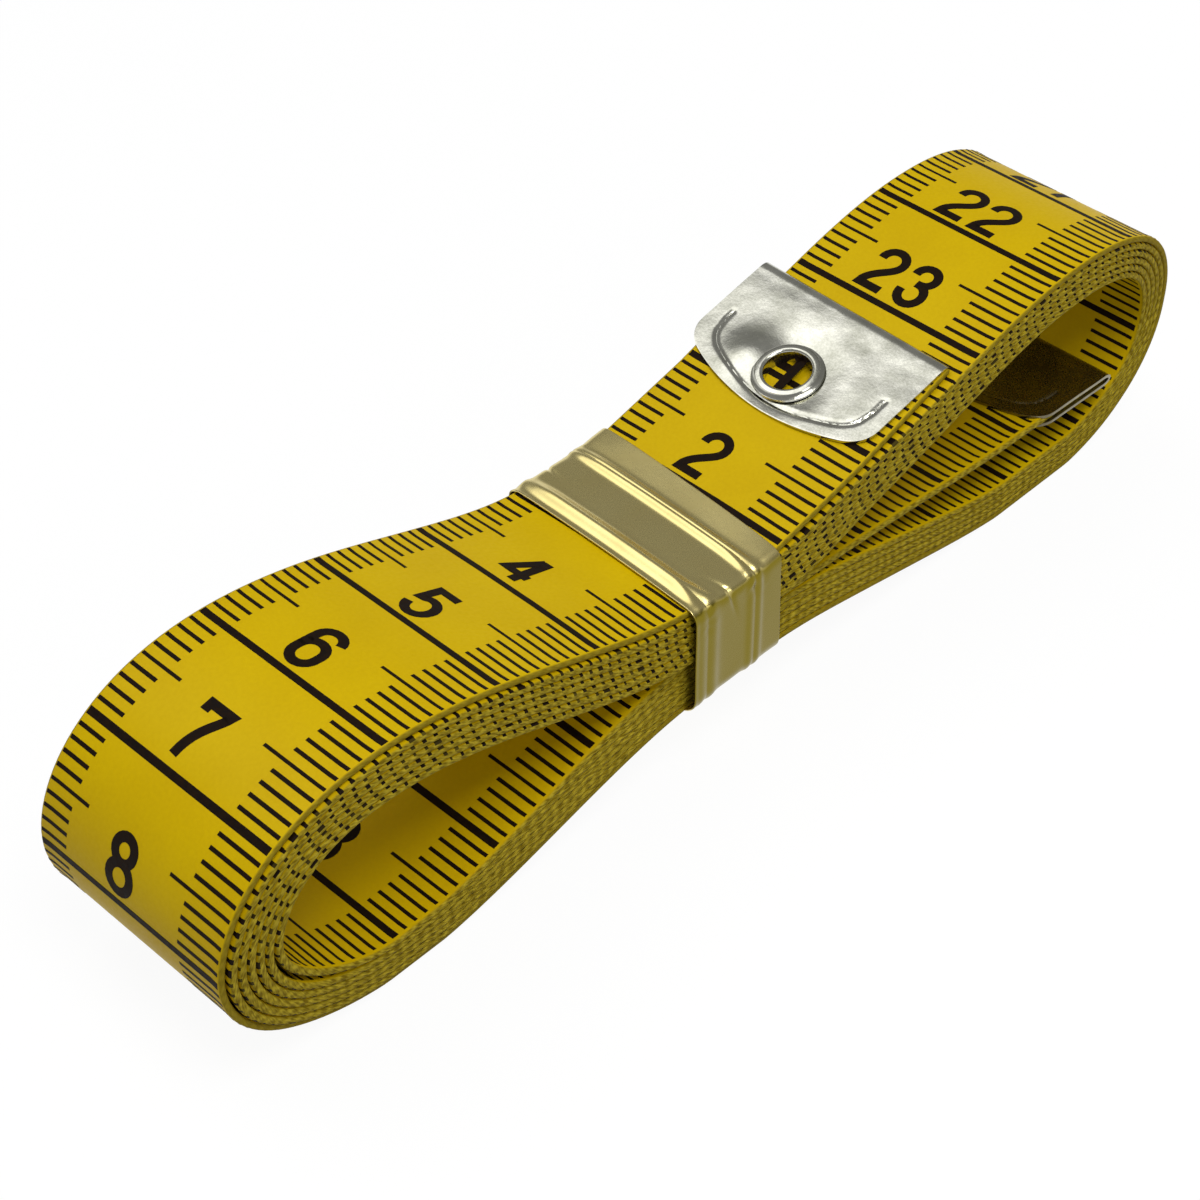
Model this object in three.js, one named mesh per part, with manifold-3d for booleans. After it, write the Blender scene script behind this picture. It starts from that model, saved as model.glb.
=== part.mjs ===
// A tailor's tape measure, wound into a flat dog-bone bundle and held at the waist by a foil band.
// Lengths are in millimetres. X runs along the bundle, Y across the tape, Z up from the table.
import * as THREE from 'three';
import { mergeVertices } from 'three/addons/utils/BufferGeometryUtils.js';
import Module from 'manifold-3d';

const wasm = await Module();
wasm.setup();

// The tape
const tapeWidth = 18;
const tapeThickness = 0.3;
const turnGap = 0.44;
const wholeTurns = 6;

// The bundle
const bundleLength = 103;
const bundleHeight = 23.3;
const waistRise = 5.15;
const waistSlit = 0.55;
const floorPress = 0.27;

// The tape's inner end, which lies free inside the right-hand loop
const strayEndInset = 7.6;
const strayEndHeight = 7.2;

// The folded sheet-metal tips
const tipLength = 13.2;
const tipSideLength = 9.4;
const tipCornerReach = 1.5;
const tipSheet = 0.3;
const fitGap = 0.2;

// The eyelet through the outer tip
const eyeletBore = 3.7;
const eyeletWall = 0.3;
const eyeletFlange = 5.6;
const eyeletFlangeHeight = 0.4;
const eyeletRoll = 5.2;
const eyeletRollHeight = 0.25;
const eyeletFromBack = 4.35;

// The band
const bandWidth = 10.6;
const bandThickness = 0.25;
const bandClearance = 0.25;
const bandCornerRadius = 0.9;
const liftGap = 0.7;
const splitGap = 0.3;

// How finely bends are cut into flats
const bendStep = THREE.MathUtils.degToRad(10);
const leastCuts = 2;
const endShare = 0.12;
const roundSteps = 40;
const cornerSteps = 6;
const straySteps = 10;
const cutOverrun = 1;
const weldReach = 0.0003;

const pitch = tapeThickness + turnGap;
const passesAtWaist = wholeTurns + 1;
const stackHeight = passesAtWaist * pitch - turnGap;
const waistTop = waistRise + 2 * stackHeight + waistSlit;

// Centre-line heights that the outline's levels stand for: table, under the waist, its top, crest
const levelHeights = [
  tapeThickness / 2 - floorPress,
  waistRise + tapeThickness / 2,
  waistTop - tapeThickness / 2,
  bundleHeight - tapeThickness / 2,
];

// The first turn's centre line, from the outer end round to the left, as control points of a
// smooth closed curve: share of half the bundle's length, and level
const outlineShares = [
  [0.392, 2.70], [0.274, 2.47], [0.160, 2.22], [0.062, 2.00], [-0.070, 2.00], [-0.194, 2.00],
  [-0.350, 2.31], [-0.524, 2.72], [-0.700, 2.95], [-0.853, 2.85], [-0.965, 2.34],
  [-1.009, 1.59], [-0.978, 0.90], [-0.892, 0.24], [-0.777, 0.00], [-0.660, 0.00],
  [-0.524, 0.20], [-0.360, 0.63], [-0.194, 1.00], [-0.058, 1.00], [0.078, 1.00],
  [0.233, 0.68], [0.388, 0.35], [0.544, 0.06], [0.660, 0.00], [0.777, 0.00], [0.892, 0.28],
  [0.980, 1.00], [1.012, 1.62], [0.970, 2.36], [0.862, 2.88], [0.709, 3.04], [0.552, 2.92],
];
const waistCentreShare = -0.062;
const strayLeaveShare = -0.02;
const strayEaseShare = 0.3;

function levelHeight(level) {
  const below = Math.min(Math.floor(level), levelHeights.length - 2);
  return THREE.MathUtils.lerp(levelHeights[below], levelHeights[below + 1], level - below);
}

// Each control point is moved out by what the spiral drifts in before it gets there
function spiralOutline() {
  const first = outlineShares.map(([along, level]) =>
    new THREE.Vector2(along * bundleLength / 2, levelHeight(level)));
  const count = first.length;
  return first.map((point, i) => {
    const run = first[(i + 1) % count].clone().sub(first[(i + count - 1) % count]).normalize();
    const inward = new THREE.Vector2(-run.y, run.x);
    return point.clone().addScaledVector(inward, -pitch * i / count);
  });
}
const outline = spiralOutline();
const spans = outline.length;

// Uniform cubic B-spline through the outline: place and direction at a count of turns
function onOutline(turns) {
  const along = (turns - Math.floor(turns)) * spans;
  const span = Math.min(Math.floor(along), spans - 1);
  const f = along - span;
  const g = 1 - f;
  const placeWeights = [g ** 3, 3 * f ** 3 - 6 * f ** 2 + 4, 3 * g ** 3 - 6 * g ** 2 + 4, f ** 3];
  const runWeights = [-(g ** 2), 3 * f ** 2 - 4 * f, 4 * g - 3 * g ** 2, f ** 2];
  const place = new THREE.Vector2();
  const run = new THREE.Vector2();
  placeWeights.forEach((weight, j) => {
    const control = outline[(span + j - 1 + spans) % spans];
    place.addScaledVector(control, weight / 6);
    run.addScaledVector(control, runWeights[j] / 2);
  });
  run.normalize();
  return { place, inward: new THREE.Vector2(-run.y, run.x) };
}

// The turns at which the tape is sampled: each span of the curve gets a step per bend step
function turnSteps(from, to) {
  const steps = [from];
  for (let span = Math.floor(from * spans); span <= Math.floor(to * spans); span += 1) {
    const start = onOutline(span / spans).inward.angle();
    const bend = Math.abs(onOutline((span + 1) / spans).inward.angle() - start) % (2 * Math.PI);
    const cuts = Math.max(leastCuts, Math.ceil(Math.min(bend, 2 * Math.PI - bend) / bendStep));
    for (let cut = 0; cut < cuts; cut += 1) {
      const turns = (span + cut / cuts) / spans;
      if (turns > from + endShare / spans && turns < to - endShare / spans) steps.push(turns);
    }
  }
  steps.push(to);
  return steps;
}

// The winding's centre line: it drifts in by one pitch a turn, and lies flat where it meets the table
function onWinding(turns) {
  const whole = Math.floor(turns);
  const { place, inward } = onOutline(turns);
  const point = place.clone().addScaledVector(inward, pitch * (turns - whole));
  point.y = Math.max(point.y, tapeThickness / 2);
  point.addScaledVector(inward, pitch * whole);
  return { point, inward };
}

// The box of the first turn puts the origin under the bundle's middle
const firstTurn = turnSteps(0, 1).map((turns) => onWinding(turns).point);
const middleX = (Math.min(...firstTurn.map((p) => p.x)) + Math.max(...firstTurn.map((p) => p.x))) / 2;
outline.forEach((control) => { control.x -= middleX; });

// Count of turns, between two bounds, at which the outline crosses a place along X
function turnsAt(x, from, to) {
  const rising = onOutline(to).place.x > onOutline(from).place.x;
  let low = from;
  let high = to;
  let middle = (low + high) / 2;
  while (middle > low && middle < high) {
    if ((onOutline(middle).place.x < x) === rising) low = middle;
    else high = middle;
    middle = (low + high) / 2;
  }
  return middle;
}

// Parts of a turn that the upper and the lower run take up, from one end of the bundle to the other
const alongShares = outlineShares.map(([along]) => along);
const leftmostTurns = alongShares.indexOf(Math.min(...alongShares)) / spans;
const rightmostTurns = alongShares.indexOf(Math.max(...alongShares)) / spans;
const upperRun = [0, leftmostTurns];
const lowerRun = [leftmostTurns, rightmostTurns];

const bandCentreX = waistCentreShare * bundleLength / 2;
const bandRightX = bandCentreX + bandWidth / 2;
const hingeX = bandRightX + liftGap;
const windingStartX = hingeX - splitGap;

// A flat ribbon along a list of centre-line points in the XZ plane, as one closed body
function ribbon(path) {
  const corners = [];
  path.forEach(({ point, inward }) => {
    for (const [across, through] of [[1, 1], [-1, 1], [-1, -1], [1, -1]]) {
      const edge = point.clone().addScaledVector(inward, through * tapeThickness / 2);
      corners.push(edge.x, across * tapeWidth / 2, edge.y);
    }
  });
  const faces = [];
  for (let i = 0; i + 1 < path.length; i += 1) {
    for (let j = 0; j < 4; j += 1) {
      const a = 4 * i + j;
      const b = 4 * i + (j + 1) % 4;
      faces.push(a, b, b + 4, a, b + 4, a + 4);
    }
  }
  const last = 4 * (path.length - 1);
  faces.push(0, 3, 2, 0, 2, 1, last, last + 1, last + 2, last, last + 2, last + 3);
  const geometry = new THREE.BufferGeometry();
  geometry.setAttribute('position', new THREE.Float32BufferAttribute(corners, 3));
  geometry.setIndex(faces);
  return geometry;
}

function toSolid(geometry) {
  const bare = geometry.clone();
  bare.deleteAttribute('normal');
  bare.deleteAttribute('uv');
  const merged = mergeVertices(bare, weldReach);
  const vertProperties = new Float32Array(merged.attributes.position.array);
  const triVerts = new Uint32Array(merged.index.array);
  return new wasm.Manifold(new wasm.Mesh({ numProp: 3, vertProperties, triVerts }));
}

function fromSolid(solid) {
  const mesh = solid.getMesh();
  const geometry = new THREE.BufferGeometry();
  geometry.setAttribute('position', new THREE.Float32BufferAttribute(mesh.vertProperties, 3));
  geometry.setIndex([...mesh.triVerts]);
  return geometry;
}

function finishedMesh(name, geometry, color, roughness, metalness) {
  geometry.computeVertexNormals();
  const material = new THREE.MeshStandardMaterial({ color, roughness, metalness });
  const mesh = new THREE.Mesh(geometry, material);
  mesh.name = name;
  return mesh;
}

const tapeFinish = [0xd6b012, 0.5, 0];
const metalFinish = [0xc9c9c4, 0.25, 1];
const foilFinish = [0xb8a45c, 0.3, 0.8];

// The winding leaves the lower stack at the waist and runs out straight to its stray end
const strayLeaveX = strayLeaveShare * bundleLength / 2;
const strayTurns = turnsAt(strayLeaveX, ...lowerRun) + wholeTurns;
const leave = onWinding(strayTurns);
const strayEnd = new THREE.Vector2(bundleLength / 2 - strayEndInset, strayEndHeight);
const strayReach = strayEnd.x - leave.point.x;
const strayCurve = new THREE.CubicBezierCurve(
  leave.point,
  leave.point.clone().add(new THREE.Vector2(leave.inward.y, -leave.inward.x)
    .multiplyScalar(strayEaseShare * strayReach)),
  new THREE.Vector2(strayEnd.x - 2 * strayEaseShare * strayReach, strayEnd.y),
  strayEnd,
);

function strayPath() {
  const path = [];
  for (let step = 1; step <= straySteps; step += 1) {
    const along = step / straySteps;
    const run = strayCurve.getTangent(along);
    path.push({ point: strayCurve.getPoint(along), inward: new THREE.Vector2(-run.y, run.x) });
  }
  return path;
}

const windingStart = turnsAt(windingStartX, ...upperRun);
const windingPath = [...turnSteps(windingStart, strayTurns).map(onWinding), ...strayPath()];

// The tape's outer end is straight under its tip, which rides clear of the turn below
const hingeTurns = turnsAt(hingeX, ...upperRun);
const tipBackTurns = turnsAt(onOutline(0).place.x - tipLength, ...upperRun);
const seatFrom = onOutline(tipBackTurns / 2).place;
const seatTo = onOutline(0).place;
const tipRun = seatTo.clone().sub(seatFrom).normalize();
const tipUp = new THREE.Vector2(-tipRun.y, tipRun.x);
const tipFold = tapeThickness / 2 + fitGap + tipSheet;
const tipBelow = tipFold + fitGap + eyeletRollHeight;
const eyeletX = tipFold - tipLength + eyeletFromBack;
const seatRise = Math.max(...turnSteps(0, tipBackTurns)
  .map((turns) => onOutline(turns).place.clone().sub(seatTo).dot(tipUp)));
const tipLift = seatRise + fitGap + tipBelow + tapeThickness / 2 - pitch;
const tipOrigin = seatTo.clone().addScaledVector(tipUp, tipLift);

function freeEndPath() {
  return turnSteps(0, hingeTurns).map((turns) => {
    const { place, inward } = onOutline(turns);
    const drifted = place.clone().addScaledVector(inward, pitch * turns);
    const rise = THREE.MathUtils.smoothstep(-turns, -hingeTurns, -tipBackTurns);
    const toLine = drifted.clone().sub(tipOrigin).dot(tipUp);
    const point = drifted.addScaledVector(tipUp, -toLine * rise);
    return { point, inward: inward.clone().lerp(tipUp.clone().negate(), rise).normalize() };
  });
}

// A tip is a U of sheet folded over the tape's end, with a rounded back, at the tape's end point
function tipPlan() {
  const half = tapeWidth / 2;
  const bulge = tipLength - tipSideLength;
  const backRadius = (half ** 2 + bulge ** 2) / (2 * bulge);
  const sweep = Math.asin(half / backRadius);
  const backCuts = Math.floor(sweep / (2 * Math.asin(tipCornerReach / (2 * backRadius))));
  const outlinePoints = [new THREE.Vector2(cutOverrun, half), new THREE.Vector2(cutOverrun, -half)];
  const back = [];
  for (let step = 0; step <= 2 * backCuts; step += 1) {
    const angle = sweep * (step / backCuts - 1);
    back.push(new THREE.Vector2(
      tipFold - tipLength + backRadius * (1 - Math.cos(angle)),
      backRadius * Math.sin(angle),
    ));
  }
  return [...outlinePoints, ...roundedEnds(back)];
}

// Trades the sharp ends of the back's arc for corners that reach a little way along it
function roundedEnds(back) {
  const corner = (at, towards) => {
    const side = new THREE.Vector2(at.x + tipCornerReach, at.y);
    const inner = at.clone().lerp(towards, tipCornerReach / at.distanceTo(towards));
    return new THREE.QuadraticBezierCurve(side, at, inner).getPoints(cornerSteps);
  };
  const last = back.length - 1;
  const first = corner(back[0], back[1]);
  const end = corner(back[last], back[last - 1]).reverse();
  return [...first, ...back.slice(1, last), ...end];
}

function tipGeometry(hasEyelet) {
  const inner = tapeThickness / 2 + fitGap;
  const outer = tipFold;
  const section = new THREE.Shape();
  section.moveTo(-tipLength, outer);
  section.lineTo(0, outer);
  section.absarc(0, 0, outer, Math.PI / 2, -Math.PI / 2, true);
  section.lineTo(-tipLength, -outer);
  section.lineTo(-tipLength, -inner);
  section.lineTo(0, -inner);
  section.absarc(0, 0, inner, -Math.PI / 2, Math.PI / 2, false);
  section.lineTo(-tipLength, inner);
  const folded = new THREE.ExtrudeGeometry(section, {
    depth: tapeWidth, bevelEnabled: false, curveSegments: cornerSteps,
  });
  folded.rotateX(Math.PI / 2);
  folded.translate(0, tapeWidth / 2, 0);
  const plan = new THREE.ExtrudeGeometry(new THREE.Shape(tipPlan()), {
    depth: 2 * (outer + cutOverrun), bevelEnabled: false,
  });
  plan.translate(0, 0, -outer - cutOverrun);
  let solid = toSolid(folded).intersect(toSolid(plan));
  if (hasEyelet) solid = solid.subtract(toSolid(eyeletHole()));
  return fromSolid(solid);
}

// Clearance hole for the eyelet's barrel, in the tip's own frame
function eyeletHole() {
  const radius = eyeletBore / 2 + eyeletWall + fitGap;
  const hole = new THREE.CylinderGeometry(radius, radius, 2 * (tipBelow + cutOverrun), roundSteps);
  hole.rotateX(Math.PI / 2);
  hole.translate(eyeletX, 0, 0);
  return hole;
}

// The eyelet: a barrel with a domed flange above the tip and a thin rolled edge below it
function eyeletGeometry() {
  const bore = eyeletBore / 2;
  const barrel = bore + eyeletWall;
  const flange = eyeletFlange / 2;
  const roll = eyeletRoll / 2;
  const seat = tipFold + fitGap;
  const crown = seat + eyeletFlangeHeight;
  const shoulder = seat + eyeletFlangeHeight / 2;
  const profile = [
    [bore, -seat - eyeletRollHeight / 2],
    [barrel, -seat - eyeletRollHeight],
    [roll, -seat - eyeletRollHeight / 2],
    [roll, -seat],
    [barrel, -seat],
    [barrel, seat],
    [flange, seat],
    [flange, shoulder],
    [(flange + barrel) / 2, crown],
    [barrel, crown],
    [bore, shoulder],
    [bore, -seat - eyeletRollHeight / 2],
  ].map(([radius, height]) => new THREE.Vector2(radius, height));
  const eyelet = new THREE.LatheGeometry(profile, roundSteps);
  eyelet.rotateX(Math.PI / 2);
  eyelet.translate(eyeletX, 0, 0);
  return fromSolid(toSolid(eyelet));
}

// The band is a flat-sided loop round both stacks, sized to the tape's path inside it
function bandGeometry() {
  const halfWidth = tapeWidth / 2 + bandClearance;
  const heights = [];
  for (let step = 0; step <= roundSteps; step += 1) {
    const x = bandCentreX + bandWidth * (step / roundSteps - 1 / 2);
    heights.push(onWinding(turnsAt(x, ...upperRun)).point.y);
    heights.push(onWinding(turnsAt(x, ...lowerRun)).point.y);
  }
  const spread = tapeThickness / 2 + bandClearance;
  const top = Math.max(...heights) + spread;
  const bottom = Math.min(...heights) - spread;
  const loop = roundedLoop(halfWidth + bandThickness, bottom - bandThickness, top + bandThickness,
    bandCornerRadius);
  loop.holes.push(roundedLoop(halfWidth, bottom, top, bandCornerRadius - bandThickness));
  const band = new THREE.ExtrudeGeometry(loop, {
    depth: bandWidth, bevelEnabled: false, curveSegments: cornerSteps,
  });
  band.rotateX(Math.PI / 2);
  band.rotateZ(Math.PI / 2);
  band.translate(bandRightX - bandWidth, 0, 0);
  return band;
}

function roundedLoop(half, bottom, top, radius) {
  const loop = new THREE.Shape();
  loop.moveTo(half, bottom + radius);
  loop.absarc(half - radius, top - radius, radius, 0, Math.PI / 2, false);
  loop.absarc(radius - half, top - radius, radius, Math.PI / 2, Math.PI, false);
  loop.absarc(radius - half, bottom + radius, radius, Math.PI, 3 * Math.PI / 2, false);
  loop.absarc(half - radius, bottom + radius, radius, 3 * Math.PI / 2, 2 * Math.PI, false);
  return loop;
}

// Puts a child at an end of the tape, with its X along the tape and its Z off the tape's face
function atTapeEnd(end, run, ...children) {
  const seat = new THREE.Group();
  seat.position.set(end.x, 0, end.y);
  seat.rotation.y = -run.angle();
  seat.add(...children);
  return seat;
}

function freeEndGeometry(seat) {
  seat.updateMatrixWorld(true);
  const hole = eyeletHole().applyMatrix4(seat.matrixWorld);
  return fromSolid(toSolid(ribbon(freeEndPath())).subtract(toSolid(hole)));
}

// Shortest distance between two stretches of the centre line
function stretchGap(a, b, c, d) {
  const toStretch = (p, from, to) => {
    const along = to.clone().sub(from);
    const share = THREE.MathUtils.clamp(p.clone().sub(from).dot(along) / along.lengthSq(), 0, 1);
    return p.distanceTo(from.clone().addScaledVector(along, share));
  };
  return Math.min(toStretch(a, c, d), toStretch(b, c, d), toStretch(c, a, b), toStretch(d, a, b));
}

function leastGap(path) {
  const points = path.map(({ point }) => point);
  const run = [0];
  points.forEach((point, i) => { if (i > 0) run.push(run[i - 1] + point.distanceTo(points[i - 1])); });
  let least = Infinity;
  for (let i = 0; i + 1 < points.length; i += 1) {
    for (let j = i + 1; j + 1 < points.length; j += 1) {
      if (run[j] - run[i + 1] < bundleHeight) continue;
      least = Math.min(least, stretchGap(points[i], points[i + 1], points[j], points[j + 1]));
    }
  }
  return { gap: least - tapeThickness, length: run[run.length - 1] };
}

const outerTip = finishedMesh('outer_tip', tipGeometry(true), ...metalFinish);
const outerEyelet = finishedMesh('outer_eyelet', eyeletGeometry(), ...metalFinish);
const innerTip = finishedMesh('inner_tip', tipGeometry(false), ...metalFinish);
const outerSeat = atTapeEnd(tipOrigin, tipRun, outerTip, outerEyelet);
const innerSeat = atTapeEnd(strayEnd, strayCurve.getTangent(1), innerTip);

const tapeMeasure = new THREE.Group();
tapeMeasure.add(
  finishedMesh('tape_winding', ribbon(windingPath), ...tapeFinish),
  finishedMesh('tape_free_end', freeEndGeometry(outerSeat), ...tapeFinish),
  finishedMesh('band', bandGeometry(), ...foilFinish),
  outerSeat,
  innerSeat,
);

const winding = leastGap(windingPath);
const freeLength = freeEndPath().reduce((sum, { point }, i, path) =>
  (i > 0 ? sum + point.distanceTo(path[i - 1].point) : sum), 0);
console.log(`Least gap of the winding to itself: ${winding.gap.toFixed(3)} mm`);
console.log(`Tape length, winding and free end: ${(winding.length + freeLength).toFixed(1)} mm`);
console.log(`Lift line of the free end: X ${hingeX.toFixed(3)}, Z ${freeEndPath().pop().point.y.toFixed(3)}`);

export default tapeMeasure;
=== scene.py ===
"""A tailor's tape measure, wound into a flat bundle and held at its waist by a foil band.

The printed tape, its two folded tips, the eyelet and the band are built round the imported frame,
dressed, and set before a camera on a pale floor. Sizes in the classes are in millimetres; meshes
are in metres.
"""
from __future__ import annotations

import logging
import math
from dataclasses import dataclass, field
from enum import Enum
from typing import Sequence

import bmesh
import bpy
import numpy as np
from mathutils import Matrix, Vector, noise


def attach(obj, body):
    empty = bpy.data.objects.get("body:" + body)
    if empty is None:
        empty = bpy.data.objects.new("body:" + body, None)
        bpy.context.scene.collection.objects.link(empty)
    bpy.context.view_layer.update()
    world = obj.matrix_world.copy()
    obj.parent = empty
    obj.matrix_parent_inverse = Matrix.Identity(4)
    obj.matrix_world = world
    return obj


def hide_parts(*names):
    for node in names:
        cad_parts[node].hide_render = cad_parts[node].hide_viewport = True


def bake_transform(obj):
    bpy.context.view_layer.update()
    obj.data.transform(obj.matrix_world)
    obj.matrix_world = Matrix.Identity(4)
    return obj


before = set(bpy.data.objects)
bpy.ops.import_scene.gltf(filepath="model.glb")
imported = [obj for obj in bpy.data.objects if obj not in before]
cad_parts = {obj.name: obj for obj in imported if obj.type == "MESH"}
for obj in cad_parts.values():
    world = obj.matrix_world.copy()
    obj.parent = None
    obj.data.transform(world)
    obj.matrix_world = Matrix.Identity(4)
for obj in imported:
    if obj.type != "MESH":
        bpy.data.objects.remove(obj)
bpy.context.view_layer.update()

log = logging.getLogger("tape_measure")

MM = 0.001
UV_NAME = "along_tape"
THROUGH = "through"
INK = "ink"

Colour = tuple[float, float, float, float]
Pair = tuple[float, float]
Triple = tuple[float, float, float]


def linear(red: int, green: int, blue: int) -> Colour:
    """Turn a display colour into a linear one.

    Args:
        red: Red, 0 to 255.
        green: Green, 0 to 255.
        blue: Blue, 0 to 255.

    Returns:
        The linear colour with an alpha of 1.
    """
    def channel(value: int) -> float:
        """Linear value of one display channel."""
        share = value / 255
        return share / 12.92 if share <= 0.04045 else ((share + 0.055) / 1.055) ** 2.4

    return channel(red), channel(green), channel(blue), 1.0


def smooth(share: np.ndarray | float) -> np.ndarray | float:
    """Smoothstep of a share that is first held between 0 and 1."""
    held = np.clip(share, 0.0, 1.0)
    return held * held * (3.0 - 2.0 * held)


def unit(rows: np.ndarray) -> np.ndarray:
    """Directions made one long, one a row."""
    return rows / np.linalg.norm(rows, axis=1)[:, None]


def turned_left(run: np.ndarray) -> np.ndarray:
    """Directions in a plane turned a quarter to the left, one a row."""
    return np.stack([-run[:, 1], run[:, 0]], axis=1)


def cubic(controls: Sequence[Sequence[float]], share: np.ndarray) -> np.ndarray:
    """Places on a cubic curve.

    Args:
        controls: Its four control points.
        share: Shares of the way along it.

    Returns:
        Places, one a row.
    """
    start, first, second, end = (np.asarray(point) for point in controls)
    f = share[:, None]
    g = 1 - f
    return start * g ** 3 + 3 * first * f * g ** 2 + 3 * second * f ** 2 * g + end * f ** 3


def noise_at(first: np.ndarray, second: np.ndarray | float, level: float) -> np.ndarray:
    """Soft noise at places in a plane."""
    pairs = zip(*np.broadcast_arrays(first, second))
    return np.array([noise.noise(Vector((a, b, level))) for a, b in pairs])


# Finishes


class NodeSheet:
    """Adds nodes to one tree and joins them."""

    def __init__(self, tree: bpy.types.NodeTree) -> None:
        """Keep the tree that nodes are added to."""
        self.tree = tree

    @classmethod
    def emptied(cls, owner: bpy.types.Material | bpy.types.World) -> NodeSheet:
        """A sheet on the node tree of a material or a world, with nothing on it.

        Args:
            owner: The material or world.

        Returns:
            The sheet.
        """
        owner.use_nodes = True
        owner.node_tree.nodes.clear()
        return cls(owner.node_tree)

    def add(self, kind: str, inputs: dict | None = None, **settings: object) -> bpy.types.Node:
        """Add a node.

        Args:
            kind: The node's type name.
            inputs: Value or output socket for each input, by name or number.
            **settings: Attributes of the node.

        Returns:
            The new node.
        """
        node = self.tree.nodes.new(kind)
        for key, value in settings.items():
            setattr(node, key, value)
        for key, value in (inputs or {}).items():
            if isinstance(value, bpy.types.NodeSocket):
                self.tree.links.new(value, node.inputs[key])
            else:
                node.inputs[key].default_value = value
        return node

    def math(self, operation: str, first: object, second: object = 0.0,
             third: object = 0.0) -> bpy.types.NodeSocket:
        """Result of a Math node on up to three values or sockets."""
        return self.add("ShaderNodeMath", {0: first, 1: second, 2: third},
                        operation=operation).outputs[0]

    def ramp(self, value: object, low: float, high: float, start: float = 0.0,
             end: float = 1.0) -> bpy.types.NodeSocket:
        """A value mapped from one range to another."""
        return self.add("ShaderNodeMapRange", {"Value": value, "From Min": low, "From Max": high,
                                               "To Min": start, "To Max": end}).outputs["Result"]

    def blend(self, share: object, first: object, second: object) -> bpy.types.NodeSocket:
        """Mix of two colours by a share."""
        node = self.add("ShaderNodeMix", {0: share, 6: first, 7: second}, data_type="RGBA")
        return node.outputs[2]


GRAIN_DETAIL = 3.0
GRAIN_RANGE = (0.3, 0.7)


def grain_group() -> bpy.types.NodeTree:
    """Build the node group for fine grain, which every finish shares.

    Returns:
        A group that maps noise at a scale to a range of values.
    """
    tree = bpy.data.node_groups.new("fine_grain", "ShaderNodeTree")
    for name, kind in (("Vector", "NodeSocketVector"), ("Scale", "NodeSocketFloat"),
                       ("Low", "NodeSocketFloat"), ("High", "NodeSocketFloat")):
        tree.interface.new_socket(name, in_out="INPUT", socket_type=kind)
    tree.interface.new_socket("Value", in_out="OUTPUT", socket_type="NodeSocketFloat")
    sheet = NodeSheet(tree)
    given = sheet.add("NodeGroupInput")
    cloud = sheet.add("ShaderNodeTexNoise", {"Vector": given.outputs["Vector"],
                                             "Scale": given.outputs["Scale"],
                                             "Detail": GRAIN_DETAIL})
    mapped = sheet.ramp(cloud.outputs["Fac"], *GRAIN_RANGE, given.outputs["Low"],
                        given.outputs["High"])
    sheet.add("NodeGroupOutput", {"Value": mapped})
    return tree


class Finish:
    """A material being made, with the shared grain at hand."""

    grain_tree: bpy.types.NodeTree | None = None

    def __init__(self, name: str) -> None:
        """Start an empty node material.

        Args:
            name: The material's name.
        """
        if Finish.grain_tree is None:
            Finish.grain_tree = grain_group()
        self.material = bpy.data.materials.new(name)
        self.sheet = NodeSheet.emptied(self.material)

    def grain(self, vector: object, scale: float, low: float, high: float) -> bpy.types.NodeSocket:
        """Grain of a scale between two values.

        Args:
            vector: Places that the grain is read at.
            scale: How fine it is.
            low: Least value.
            high: Greatest value.

        Returns:
            The grain's value.
        """
        node = self.sheet.add("ShaderNodeGroup", node_tree=Finish.grain_tree)
        for key, value in (("Scale", scale), ("Low", low), ("High", high)):
            node.inputs[key].default_value = value
        self.sheet.tree.links.new(vector, node.inputs["Vector"])
        return node.outputs["Value"]

    def bump(self, height: object, depth_mm: float,
             normal: bpy.types.NodeSocket | None = None) -> bpy.types.NodeSocket:
        """Normal of a surface that a height raises.

        Args:
            height: Height, as a share of the depth.
            depth_mm: The depth in millimetres.
            normal: A normal that it is raised from, or None for the surface's own.

        Returns:
            The normal.
        """
        inputs = {"Height": height, "Distance": depth_mm * MM, "Strength": 1.0}
        if normal is not None:
            inputs["Normal"] = normal
        return self.sheet.add("ShaderNodeBump", inputs).outputs["Normal"]

    def done(self, inputs: dict) -> bpy.types.Material:
        """Give the surface its shader.

        Args:
            inputs: Sockets of the Principled shader and their values.

        Returns:
            The finished material.
        """
        shader = self.sheet.add("ShaderNodeBsdfPrincipled", inputs)
        self.sheet.add("ShaderNodeOutputMaterial", {"Surface": shader.outputs["BSDF"]})
        return self.material


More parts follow.
